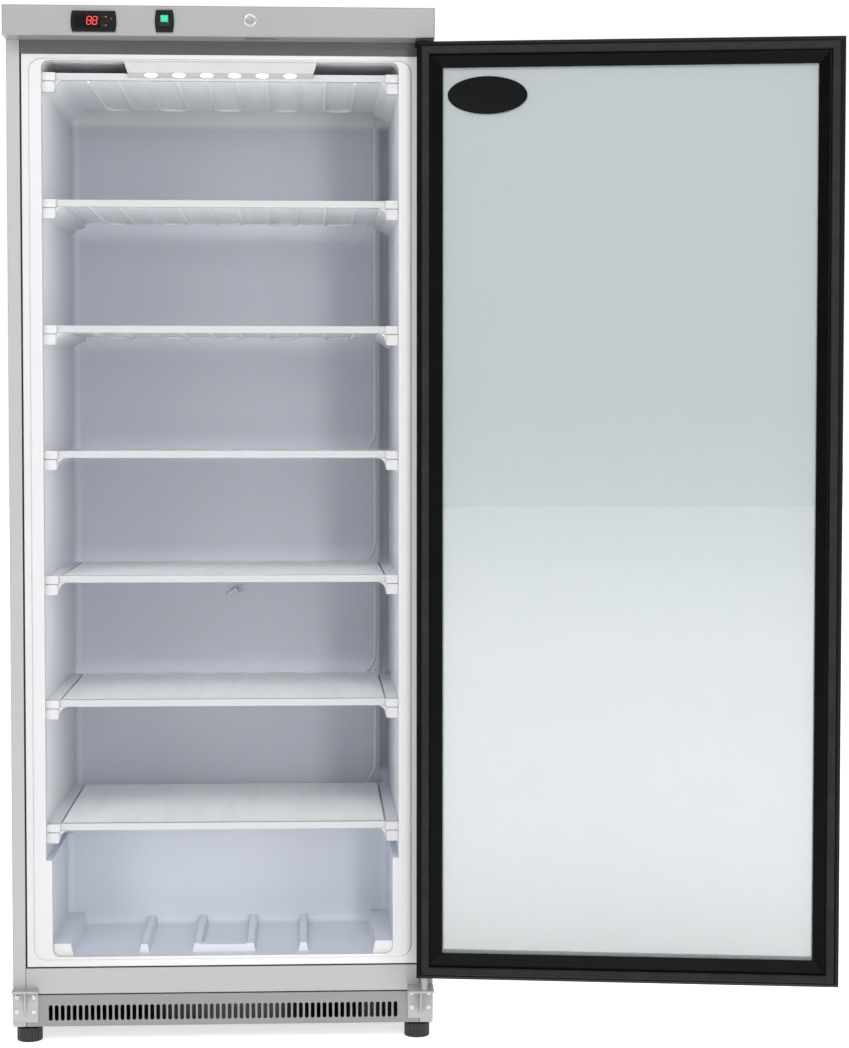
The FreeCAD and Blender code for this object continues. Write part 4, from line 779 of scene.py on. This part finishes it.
class Bench:
    """Modelling bench: adds primitives and shapes them in edit mode."""

    @staticmethod
    def clear() -> None:
        """Deselects every object."""
        bpy.ops.object.select_all(action="DESELECT")

    @staticmethod
    def settle() -> Piece:
        """Puts the new primitive's place into its mesh and returns it."""
        bpy.ops.object.transform_apply(location=True, rotation=True, scale=True)
        return bpy.context.active_object

    @classmethod
    def block(cls, low: Triple, high: Triple) -> Piece:
        """Adds a block between two corners.

        Args:
            low: Lowest corner.
            high: Highest corner.

        Returns:
            The piece.
        """
        cls.clear()
        centre = [(a + b) / 2 for a, b in zip(low, high)]
        bpy.ops.mesh.primitive_cube_add(size=1.0, location=centre)
        bpy.context.active_object.scale = [b - a for a, b in zip(low, high)]
        return cls.settle()

    @classmethod
    def drum(cls, radius: float, start: Triple, end: Triple, sides: int = 32) -> Piece:
        """Adds a round bar between two points.

        Args:
            radius: Its radius.
            start: First end.
            end: Second end.
            sides: Number of sides.

        Returns:
            The piece.
        """
        cls.clear()
        first, second = Vector(start), Vector(end)
        turn = Vector((0, 0, 1)).rotation_difference(second - first).to_euler()
        middle, length = (first + second) / 2, (second - first).length
        bpy.ops.mesh.primitive_cylinder_add(
            vertices=sides, radius=radius, depth=length, location=middle, rotation=turn
        )
        return cls.settle()

    @classmethod
    def ring(cls, radius: float, wire: float, centre: Triple, axis: Axis) -> Piece:
        """Adds a ring of round wire.

        Args:
            radius: Radius of the ring.
            wire: Radius of the wire.
            centre: Its centre.
            axis: Its axis.

        Returns:
            The piece.
        """
        cls.clear()
        turn = Vector((0, 0, 1)).rotation_difference(Vector(axis.value)).to_euler()
        bpy.ops.mesh.primitive_torus_add(
            major_radius=radius, minor_radius=wire, major_segments=48, minor_segments=10,
            location=centre, rotation=turn,
        )
        return cls.settle()

    @classmethod
    def tube(cls, points: Sequence[Triple], radius: float) -> Piece:
        """Adds a bent tube that follows points smoothly.

        Args:
            points: Points of its route.
            radius: Its radius.

        Returns:
            The piece, as a mesh.
        """
        cls.clear()
        bpy.ops.curve.primitive_nurbs_path_add(radius=1.0, location=(0, 0, 0))
        route = bpy.context.active_object
        curve = route.data
        curve.splines.clear()
        spline = curve.splines.new("NURBS")
        spline.points.add(len(points) - 1)
        for point, place in zip(spline.points, points):
            point.co = (*place, 1.0)
        spline.order_u = 3
        spline.use_endpoint_u = True
        spline.resolution_u = 8
        curve.dimensions = "3D"
        curve.bevel_depth = radius
        curve.bevel_resolution = 3
        curve.use_fill_caps = True
        bpy.ops.object.convert(target="MESH")
        return cls.settle()

    @staticmethod
    @contextmanager
    def shaping(piece: Piece) -> Iterator[None]:
        """Opens a piece in edit mode with nothing selected.

        Args:
            piece: The piece.

        Yields:
            Nothing.
        """
        Bench.only(piece)
        bpy.ops.object.mode_set(mode="EDIT")
        bpy.ops.mesh.select_mode(type="FACE")
        bpy.ops.mesh.select_all(action="DESELECT")
        yield
        bpy.ops.object.mode_set(mode="OBJECT")

    @staticmethod
    def pick(piece: Piece, test: Callable[[Vector, Vector], bool]) -> None:
        """Selects the faces that pass a test on their middle and normal.

        Args:
            piece: The piece, in edit mode.
            test: Takes a face's middle and normal.
        """
        bpy.ops.mesh.select_all(action="DESELECT")
        shape = bmesh.from_edit_mesh(piece.data)
        for face in shape.faces:
            face.select_set(test(face.calc_center_median(), face.normal))
        bmesh.update_edit_mesh(piece.data)

    @classmethod
    def dished(cls, piece: Piece, thickness: float, depth: float) -> None:
        """Insets the faces that look to the front.

        Args:
            piece: The piece.
            thickness: Width of the new rim.
            depth: How far the inner face stands out.
        """
        with cls.shaping(piece):
            cls.pick(piece, lambda middle, normal: normal.y < -0.9)
            bpy.ops.mesh.inset(thickness=thickness, depth=depth)

    @staticmethod
    def changed(piece: Piece, kind: str, **settings: Any) -> Piece:
        """Changes a piece by a modifier.

        Args:
            piece: The piece.
            kind: The modifier's type.
            **settings: Its properties.

        Returns:
            The piece.
        """
        modifier = piece.modifiers.new(kind, kind)
        for key, value in settings.items():
            setattr(modifier, key, value)
        bpy.context.view_layer.objects.active = piece
        bpy.ops.object.modifier_apply(modifier=modifier.name)
        return piece

    @staticmethod
    def rounded(piece: Piece, width: float, segments: int = 2, angle: float = 30.0) -> Piece:
        """Rounds a piece's sharp edges.

        Args:
            piece: The piece.
            width: Width of the rounding.
            segments: Steps in it.
            angle: Edges sharper than this are rounded, in degrees.

        Returns:
            The piece.
        """
        limit = {"limit_method": "ANGLE", "angle_limit": math.radians(angle)}
        return Bench.changed(piece, "BEVEL", width=width, segments=segments, **limit)

    @staticmethod
    def carved(piece: Piece, cutter: Piece) -> Piece:
        """Cuts one piece out of another.

        Args:
            piece: The piece that stays.
            cutter: The piece that is cut away and removed.

        Returns:
            The piece that stays.
        """
        Bench.changed(piece, "BOOLEAN", operation="DIFFERENCE", solver="EXACT", object=cutter)
        bpy.data.objects.remove(cutter)
        return piece

    @classmethod
    def only(cls, *pieces: Piece) -> None:
        """Selects some pieces alone, the first of them active.

        Args:
            *pieces: The pieces.
        """
        bpy.ops.object.select_all(action="DESELECT")
        for piece in pieces:
            piece.select_set(True)
        bpy.context.view_layer.objects.active = pieces[0]

    @classmethod
    def joined(cls, pieces: Sequence[Piece]) -> Piece:
        """Joins pieces into one.

        Args:
            pieces: The pieces.

        Returns:
            The joined piece.
        """
        cls.only(*pieces)
        bpy.ops.object.join()
        return pieces[0]

    @staticmethod
    def spread(piece: Piece, places: Sequence[Matrix]) -> list[Piece]:
        """Copies a piece to several places, each copy with its own mesh, and removes the pattern.

        Args:
            piece: The pattern.
            places: Where the copies go.

        Returns:
            The copies.
        """
        copies = []
        for place in places:
            twin = piece.copy()
            twin.data = piece.data.copy()
            twin.data.transform(place)
            if place.determinant() < 0:
                twin.data.flip_normals()
            bpy.context.scene.collection.objects.link(twin)
            copies.append(twin)
        bpy.data.objects.remove(piece)
        return copies

    @classmethod
    def done(
        cls,
        piece: Piece,
        name: str,
        finish: Finish,
        slot: str,
        body: Body = Body.CABINET,
        replaced: Sequence[str] = (),
    ) -> None:
        """Names and finishes a piece and says what it rides on.

        Args:
            piece: The piece.
            name: Its name.
            finish: Its finish.
            slot: Slot name for that finish; not used.
            body: The body it moves with.
            replaced: The nodes it stands for.
        """
        cls.only(piece)
        bpy.ops.object.shade_smooth_by_angle(angle=math.radians(35.0))
        piece.name = name
        piece.data.materials.append(finish.made())
        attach(piece, body.value)
        if replaced:
            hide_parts(*replaced)
        LOG.info("%s rides on %s", name, body.value)


def opened(piece: Piece) -> Piece:
    """Turns a piece modelled on the closed door to where the open door stands.

    Args:
        piece: The piece.

    Returns:
        The same piece.
    """
    hinge = Vector((0.3704, FRONT - 0.045, 0.0))
    turn = Matrix.Translation(hinge) @ Matrix.Rotation(OPEN_TURN, 4, "Z") @ Matrix.Translation(-hinge)
    piece.data.transform(turn)
    return piece


# --- sub-assemblies


@dataclass
class Assembly:
    """Group of pieces that is dressed together."""

    plan: ClassVar[Plan] = {}

    def dress(self, nodes: dict[str, Piece]) -> None:
        """Puts the plan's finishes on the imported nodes.

        Args:
            nodes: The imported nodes.
        """
        for finish, names in self.plan.items():
            for name in names:
                node = nodes[name]
                node.data.materials.clear()
                node.data.materials.append(finish.made())
                LOG.info("%s takes %s", name, finish.name)


@dataclass
class Cabinet(Assembly):
    """Casing, front trim, brackets and feet."""

    plan: ClassVar[Plan] = {
        CASE: (
            "side_panel_left", "side_panel_right", "sill_panel", "lower_hinge_bracket", "lower_left_bracket",
        ),
        PLINTH: ("plinth_grille",),
        RAIL: ("top_rail",),
        ZINC: ("top_cover", "back_panel", "rear_cover"),
        # Painted shade: the base pan takes the compressor's black paint so that the duct behind the grille
        # reads as shade.
        SHELL: ("base_pan",),
        BLACK: ("cable_gland", "upper_hinge_bracket"),
        FOAM: ("foam_insulation",),
        FOOT: ("foot_front_left", "foot_front_right", "foot_rear_left", "foot_rear_right"),
    }
    screw_radius: float = 0.0045
    screw_height: float = 0.0018
    screw_across: float = 0.0155
    screw_rows: tuple[float, float] = (0.0855, 0.0585)
    side_screws: tuple[tuple[float, float], ...] = ((FRONT - 0.028, 1.87865), (FRONT + 0.012, 0.093))
    side: float = 0.3885
    bracket: float = 0.047

    def screw(self) -> Piece:
        """Models one pan-headed cross screw at the origin, its head facing -Y.

        Returns:
            The screw's head.
        """
        head = Bench.drum(self.screw_radius, (0, 0, 0), (0, -self.screw_height * 0.75, 0), 24)
        Bench.dished(head, self.screw_radius * 0.35, self.screw_height * 0.25)
        Bench.rounded(head, 0.0005, 3, 40.0)
        reach, half = self.screw_radius * 0.62, 0.00042
        low, high = -self.screw_height * 2, -self.screw_height * 0.45
        upright = Bench.block((-half, low, -reach), (half, high, reach))
        level = Bench.block((-reach, low, -half), (reach, high, half))
        Bench.carved(head, upright)
        return Bench.carved(head, level)

    def screws(self) -> None:
        """Sets the screws of the lower brackets, the panel's cheeks and the columns."""
        middle = self.side - self.bracket / 2
        places = []
        for side in (-1, 1):
            for across in (-self.screw_across, self.screw_across):
                for height in self.screw_rows:
                    place = Matrix.Translation((side * middle + across, FRONT - 0.003, height))
                    places.append(place @ Matrix.Rotation(0.5 * across * 100 + height * 30, 4, "Y"))
            for y, z in self.side_screws:
                place = Matrix.Translation((side * self.side, y, z))
                places.append(place @ Matrix.Rotation(side * math.pi / 2, 4, "Z"))
        heads = Bench.joined(Bench.spread(self.screw(), places))
        Bench.done(heads, "screw_heads", SCREW, "screw_zinc", replaced=["fixing_screws"])


@dataclass
class Cavity(Assembly):
    """Liner, cold shelves, clips, pipes, probe and lamp."""

    plan: ClassVar[Plan] = {
        LINER: ("inner_liner",),
        PLATE: tuple(f"evaporator_shelf_{number}" for number in range(1, SHELVES + 1)),
        BAR: tuple(f"shelf_bar_{number}" for number in range(1, SHELVES + 1)),
        VALANCE: ("lamp_valance",),
        LENS: ("lamp_lenses",),
    }
    top: float = 1.784
    pitch: float = 0.22995
    opening: float = 0.325
    clip_inner: float = 0.301
    clip_levels: Triple = (-0.0148, -0.0165, -0.0353)
    gusset: float = 0.015
    gusset_top: float = -0.0134
    probe_place: tuple[float, float] = (0.010, 0.8012)
    lens_pitch: float = 0.0506

    def heights(self) -> list[float]:
        """Heights of the shelves' front bars, from the top down."""
        return [self.top - step * self.pitch for step in range(SHELVES)]

    def clip(self) -> Piece:
        """Models the right-hand holder of one shelf, its bar's top at height zero.

        Returns:
            The holder.
        """
        x0, x1 = self.clip_inner, self.opening
        y0, y1 = FRONT + 0.010, FRONT + 0.0295
        head_low, neck_low, foot_low = self.clip_levels
        head = Bench.block((x0, y0, head_low), (x1, y1, 0.0))
        Bench.dished(head, 0.0022, -0.0008)
        neck = Bench.block((x0 + 0.003, y0 + 0.003, neck_low), (x1, y1, head_low))
        foot = Bench.block((x0 + 0.002, y0, foot_low), (x1, y1, neck_low))
        Bench.dished(foot, 0.0025, -0.001)
        with Bench.shaping(foot):
            Bench.pick(foot, lambda middle, normal: normal.x < -0.9)
            bpy.ops.mesh.inset(thickness=0.003, depth=0.0)
            bpy.ops.mesh.extrude_region_move(TRANSFORM_OT_translate={"value": (-0.0015, 0, 0)})
        for part in (head, neck, foot):
            Bench.rounded(part, 0.0007, 2)
        y2, y3 = FRONT + 0.018, FRONT + 0.023
        corner, under = x0 - self.gusset, self.gusset_top
        low = under - self.gusset
        gusset = Bench.block((corner, y2, low), (x0 + 0.004, y3, under))
        bore = Bench.drum(self.gusset, (corner, y2 - 0.001, low), (corner, y3 + 0.001, low), 48)
        Bench.carved(gusset, bore)
        return Bench.joined([head, neck, foot, gusset])

    def clips(self) -> None:
        """Sets a holder at both ends of every shelf."""
        flip = Matrix.Scale(-1.0, 4, (1, 0, 0))
        rises = [Matrix.Translation((0, 0, height)) for height in self.heights()]
        places = [rise @ turn for rise in rises for turn in (Matrix(), flip)]
        clips = Bench.joined(Bench.spread(self.clip(), places))
        Bench.done(clips, "clips", WHITE, "white_plastic", replaced=["shelf_clips"])

    def pipes(self) -> None:
        """Bends the pipes that join the shelves at the back right."""
        x, sway, y, edge = 0.297, 0.015, FRONT + 0.540, FRONT + 0.506
        span, bend = self.pitch, 0.024
        points = [
            (x, edge, 0.0), (x, y - 0.010, 0.0), (x, y, 0.0), (x, y, -0.012), (x, y, -0.05),
            (x, y, 0.05 - span), (x, y, bend - span),
            (x - sway, y, -span), (x - sway, y - 0.010, -span), (x - sway, edge, -span),
        ]
        falls = [Matrix.Translation((0, 0, height - 0.004)) for height in self.heights()[:-1]]
        runs = Bench.joined(Bench.spread(Bench.tube(points, 0.003), falls))
        Bench.done(runs, "shelf_pipes", PIPE, "pipe_white", replaced=["refrigerant_lines"])

    def probe(self) -> None:
        """Models the temperature bulb, its clip, its thin lead and the screw that holds them."""
        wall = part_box("sensor_probe")[1].y
        x, z = self.probe_place
        start = Vector((x, wall - 0.014, z))
        end = start + Vector((-0.8, 0, -0.6)) * 0.024
        bulb = Bench.drum(0.0034, start, end, 20)
        Bench.rounded(bulb, 0.0016, 3)
        saddle = Bench.block((x - 0.014, wall - 0.012, z - 0.016), (x + 0.014, wall, z - 0.006))
        Bench.dished(saddle, 0.002, -0.001)
        stem = Bench.block((x - 0.003, wall - 0.014, z - 0.012), (x + 0.003, wall, z + 0.005))
        for part in (saddle, stem):
            Bench.rounded(part, 0.0008, 2)
        route = [tuple(start), (x + 0.006, wall - 0.010, z + 0.002), (x + 0.011, wall - 0.006, z + 0.004),
                 (x + 0.014, wall - 0.004, z + 0.012), (x + 0.015, wall - 0.002, z + 0.020)]
        lead = Bench.tube(route, 0.0011)
        holder = Bench.joined([bulb, saddle, stem, lead])
        Bench.done(holder, "probe", PIPE, "probe_plastic", replaced=["sensor_probe"])
        head = Bench.drum(0.0026, (x, wall - 0.0140, z), (x, wall - 0.0152, z), 20)
        Bench.dished(head, 0.0009, -0.0004)
        Bench.done(Bench.rounded(head, 0.0002, 2, 40.0), "probe_screw", BLACK, "black_plastic")

    def lamp(self) -> None:
        """Models the bright rims round the lamp's lenses."""
        low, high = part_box("lamp_lenses")
        y, z = (low.y + high.y) / 2 + 0.0004, (low.z + high.z) / 2 + 0.0006
        first = Bench.ring(0.0118, 0.0006, (0.0, 0.0, 0.0), Axis.Z)
        first.data.transform(Matrix.Rotation(-math.radians(23.6), 4, "X") @ Matrix.Scale(0.57, 4, (0, 1, 0)))
        places = [Matrix.Translation(((number - 2.5) * self.lens_pitch, y, z)) for number in range(6)]
        Bench.done(Bench.joined(Bench.spread(first, places)), "lens_rims", WHITE, "white_plastic")


@dataclass
class Controls(Assembly):
    """Control panel with its controller, switch and lock."""

    plan: ClassVar[Plan] = {
        PANEL: ("control_panel",),
        BEZEL: ("controller_body",),
        SMOKED: ("controller_window",),
        BLACK: ("button_up", "button_down", "button_set"),
        SWITCH: ("switch_body", "switch_rocker"),
        CHROME: ("lock_barrel", "lock_plug", "lock_cam"),
    }
    controller: tuple[float, float] = (-0.2246, 1.8653)
    digit_centres: tuple[float, float] = (-0.2324, -0.2221)
    digit_height: float = 0.0138
    digit_width: float = 0.0074
    digit_lean: float = 0.12
    stroke: float = 0.0013
    lock: tuple[float, float] = (0.0552, 1.8694)
    valley: float = 1.8671
    window: tuple[float, float] = (-0.106, -0.090)

    def bar(self, length: float, upright: bool) -> Piece:
        """Models one bar of a digit at the origin, flat and with pointed ends.

        Args:
            length: Length between the roots of its points.
            upright: Whether it stands.

        Returns:
            The bar.
        """
        half, width = length / 2, self.stroke / 2
        bar = Bench.block((-half, -0.0001, -width), (half, 0.0001, width))
        with Bench.shaping(bar):
            for side in (-1, 1):
                Bench.pick(bar, lambda middle, normal: normal.x * side > 0.9)
                bpy.ops.mesh.extrude_region_move(TRANSFORM_OT_translate={"value": (side * width, 0, 0)})
                bpy.ops.transform.resize(value=(1, 1, 0.15), center_override=(side * half, 0, 0))
        Bench.dished(bar, self.stroke * 0.12, 0.00004)
        if upright:
            bar.data.transform(Matrix.Rotation(math.pi / 2, 4, "Y"))
        return bar

    def digits(self) -> None:
        """Sets two red digits, both a full eight, behind the window."""
        y = PANEL_FACE - 0.0053
        w, h, z = self.digit_width / 2, self.digit_height / 2, self.controller[1] + 0.001
        lean = self.digit_lean * h
        level_places, standing_places = [], []
        for centre in self.digit_centres:
            for level in (-1, 0, 1):
                level_places.append(Matrix.Translation((centre + level * lean, y, z + level * h)))
            for side in (-1, 1):
                for level in (-0.5, 0.5):
                    place = (centre + side * w + level * lean, y, z + level * h)
                    standing_places.append(Matrix.Translation(place))
        bars = Bench.spread(self.bar(self.digit_width - self.stroke * 1.9, False), level_places)
        bars += Bench.spread(self.bar(h - self.stroke * 1.3, True), standing_places)
        Bench.done(Bench.joined(bars), "display_digits", DIGIT, "display_window")

    def key_marks(self) -> None:
        """Prints the small marks beside the keys: an up arrow, a down arrow and a dot."""
        y = PANEL_FACE - 0.0052
        x, z = self.controller
        Bench.clear()
        turn = (math.pi / 2, 0, 0)
        bpy.ops.mesh.primitive_cylinder_add(vertices=3, radius=0.0019, depth=0.0003, rotation=turn)
        arrow = Bench.settle()
        Bench.dished(arrow, 0.0003, 0.0)
        places = []
        for direction in (1, -1):
            place = Matrix.Translation((x + 0.0222, y, z + direction * 0.0076))
            places.append(place @ Matrix.Rotation(math.pi * (1 - direction) / 2, 4, "Y"))
        marks = Bench.spread(arrow, places)
        dot_x, dot_z = x + 0.0320, z + 0.0045
        dot = Bench.drum(0.0010, (dot_x, y + 0.0001, dot_z), (dot_x, y - 0.0002, dot_z), 16)
        marks.append(Bench.rounded(dot, 0.0001, 1))
        Bench.done(Bench.joined(marks), "key_marks", MARK, "display_window")

    def rocker_window(self) -> None:
        """Sets the green window over the rocker's face, bent as the face is."""
        outline = [(-0.0077, -0.0026), (-0.0072, 0.0), (-0.0092, 0.0092), (-0.0071, 0.0109)]
        left, right = self.window
        (y0, z0), (y1, z1) = outline[:2]
        pane = Bench.block((left, y0 - 0.0004, z0), (right, y0 + 0.0008, z1))
        with Bench.shaping(pane):
            Bench.pick(pane, lambda middle, normal: normal.z > 0.9)
            bpy.ops.transform.translate(value=(0, y1 - y0, 0))
            for (near, low), (far, high) in zip(outline[1:-1], outline[2:]):
                step = {"value": (0, far - near, high - low)}
                bpy.ops.mesh.extrude_region_move(TRANSFORM_OT_translate=step)
            Bench.pick(pane, lambda middle, normal: normal.y < -0.3)
            bpy.ops.mesh.inset(thickness=0.0011, depth=0.0003)
        Bench.rounded(pane, 0.0003, 2)
        lean = Matrix.Rotation(math.radians(9.0), 4, "X")
        pane.data.transform(Matrix.Translation((0.0, PANEL_FACE + 0.001, self.valley)) @ lean)
        Bench.done(pane, "rocker_window", GREEN, "display_window", Body.ROCKER)

    def lock_ring(self) -> None:
        """Turns the raised ring on the lock's face."""
        x, z = self.lock
        ring = Bench.ring(0.0084, 0.0007, (x, PANEL_FACE - 0.0025, z), Axis.Y)
        Bench.done(ring, "lock_ring", CHROME, "lock_chrome")


@dataclass
class Door(Assembly):
    """Door frame, sealed glass unit, seal, pull and the bare oval plate."""

    plan: ClassVar[Plan] = {
        FRAME: ("door_frame",),
        SEAL: ("door_gasket",),
        GLASS: ("inner_glass", "outer_glass"),
        SPACER: ("glass_spacer",),
        STEEL: ("edge_pull",),
    }
    oval_across: float = 0.144
    oval_tall: float = 0.0677
    oval_thick: float = 0.0012
    oval_from_edge: float = 0.1275
    oval_height: float = 1.7356
    half_width: float = 0.3823

    def oval(self) -> None:
        """Sets the bare oval plate on both faces of the glass."""
        x = self.half_width - self.oval_from_edge
        inner = FRONT - 0.010 - 0.014
        outer = inner - 0.020
        plates = []
        for face, outwards in ((inner, 1), (outer, -1)):
            Bench.clear()
            turn = (-math.pi / 2 * outwards, 0, 0)
            place = (x, face + outwards * self.oval_thick / 2, self.oval_height)
            bpy.ops.mesh.primitive_cylinder_add(
                vertices=96, radius=1.0, depth=self.oval_thick, location=place, rotation=turn
            )
            bpy.context.active_object.scale = (self.oval_across / 2, self.oval_tall / 2, 1.0)
            plate = Bench.settle()
            with Bench.shaping(plate):
                Bench.pick(plate, lambda middle, normal: normal.y * outwards > 0.9)
                bpy.ops.mesh.inset(thickness=0.0022, depth=0.0)
                bpy.ops.mesh.inset(thickness=0.0008, depth=-0.0003)
            Bench.rounded(plate, 0.0003, 2, 40.0)
            plates.append(plate)
        Bench.done(opened(Bench.joined(plates)), "oval_plate", OVAL, "black_plastic", Body.DOOR)


@dataclass
class Machinery(Assembly):
    """Compressor, condenser and fan behind the rear cover."""

    plan: ClassVar[Plan] = {
        SHELL: ("compressor",),
        FINS: ("condenser",),
        ZINC: ("condenser_fan_motor",),
        WHITE: ("fan_impeller",),
    }


@dataclass
class Studio:
    """Pale floor, soft lights and the camera."""

    camera_place: Triple = (0.1563, -4.375 + FRONT, 1.1558)
    yaw: float = 2.833
    pitch: float = 2.569
    roll: float = 0.025
    focal: float = 2374.0
    image: tuple[int, int] = (849, 1048)

    def camera(self) -> None:
        """Stands the camera where the photograph was taken from."""
        data = bpy.data.cameras.new("camera")
        data.sensor_fit = "VERTICAL"
        data.sensor_height = 36.0
        data.lens = self.focal / self.image[1] * 36.0
        data.clip_end = 100.0
        yaw, pitch = math.radians(self.yaw), math.radians(self.pitch)
        ahead = Vector((math.sin(yaw) * math.cos(pitch), math.cos(yaw) * math.cos(pitch), -math.sin(pitch)))
        right = Vector((math.cos(yaw), -math.sin(yaw), 0.0))
        up = right.cross(ahead)
        turn = Matrix((right, up, -ahead)).transposed().to_4x4()
        camera = bpy.data.objects.new("camera", data)
        roll = Matrix.Rotation(math.radians(self.roll), 4, "Z")
        camera.matrix_world = Matrix.Translation(self.camera_place) @ turn @ roll
        bpy.context.scene.collection.objects.link(camera)
        bpy.context.scene.camera = camera

    def floor(self) -> None:
        """Lays the pale floor."""
        Bench.clear()
        bpy.ops.mesh.primitive_plane_add(size=40.0, location=(0, 6.0, 0))
        floor = Bench.settle()
        floor.name = "studio_floor"
        recipe = Recipe("studio_floor")
        dust = recipe.noise(1.2, 2.0)
        base = recipe.blend(dust, (0.88, 0.88, 0.88), (0.90, 0.90, 0.90))
        glow = recipe.blend(recipe.axis(1).above(-2.8, 0.6), (0.0, 0.0, 0.0), (1.0, 1.0, 1.0))
        lit = recipe.surface(Base_Color=base, Roughness=0.7, Emission_Color=glow, Emission_Strength=0.66)
        floor.data.materials.append(lit)

    def light(self, name: str, place: Triple, aim: Triple, size: tuple[float, float], power: float) -> None:
        """Hangs one soft light.

        Args:
            name: Its name.
            place: Where it hangs.
            aim: What it points at.
            size: Width and height.
            power: Its power in watts.
        """
        data = bpy.data.lights.new(name, "AREA")
        data.shape = "RECTANGLE"
        data.size, data.size_y = size
        data.energy = power
        lamp = bpy.data.objects.new(name, data)
        lamp.location = place
        lamp.rotation_euler = (Vector(aim) - Vector(place)).to_track_quat("-Z", "Y").to_euler()
        bpy.context.scene.collection.objects.link(lamp)

    def world(self) -> None:
        """Sets the white room: darker above and behind the camera, so that glass has something to mirror."""
        world = bpy.data.worlds.new("room")
        bpy.context.scene.world = world
        world.use_nodes = True
        graph = Graph(world.node_tree)
        place = graph.node("ShaderNodeTexCoord").outputs["Generated"]
        behind = graph.wire(graph.node("ShaderNodeSeparateXYZ", None, {0: place}).outputs[1]) * 0.5 + 0.5
        grey, white = (0.25, 0.25, 0.25), (1.02, 1.02, 1.02)
        stops = [(0.0, grey), (0.46, shade(grey, 1.3)), (0.60, white), (1.0, white)]
        colour = graph.node("ShaderNodeValToRGB", {"stops": stops}, {0: behind}).outputs[0]
        sky = graph.node("ShaderNodeBackground", None, {"Color": colour, "Strength": 1.0}).outputs[0]
        graph.node("ShaderNodeOutputWorld", None, {"Surface": sky})

    def build(self) -> None:
        """Sets up the whole studio."""
        self.camera()
        self.floor()
        self.world()
        self.light("left", (-2.2, -4.6, 1.9), (0.0, 0.0, 1.0), (1.3, 3.3), 56.0)
        self.light("right", (1.3, -4.8, 1.9), (0.0, 0.0, 1.0), (0.4, 3.3), 60.0)
        self.light("side", (3.2, -4.2, 1.4), (0.0, 0.0, 1.0), (1.0, 2.6), 36.0)
        self.light("high", (-0.2, -4.2, 3.7), (0.0, -0.1, 0.9), (3.0, 0.9), 72.0)
        self.light("head", (0.2, -2.4, 4.2), (0.2, -0.3, 0.6), (3.0, 1.6), 18.0)
        view = bpy.context.scene.view_settings
        view.view_transform = "Standard"
        view.look = "None"
        view.exposure = 0.0


def main() -> None:
    """Builds the studio and dresses the freezer, sub-assembly by sub-assembly."""
    logging.basicConfig(level=logging.INFO, format="%(name)s: %(message)s")
    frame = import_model()
    nodes = frame["nodes"]
    Studio().build()
    cabinet = Cabinet()
    cabinet.dress(nodes)
    cabinet.screws()
    cavity = Cavity()
    cavity.dress(nodes)
    cavity.clips()
    cavity.pipes()
    cavity.probe()
    cavity.lamp()
    controls = Controls()
    controls.dress(nodes)
    controls.digits()
    controls.key_marks()
    controls.rocker_window()
    controls.lock_ring()
    door = Door()
    door.dress(nodes)
    door.oval()
    Machinery().dress(nodes)


if __name__ == "__main__":
    main()
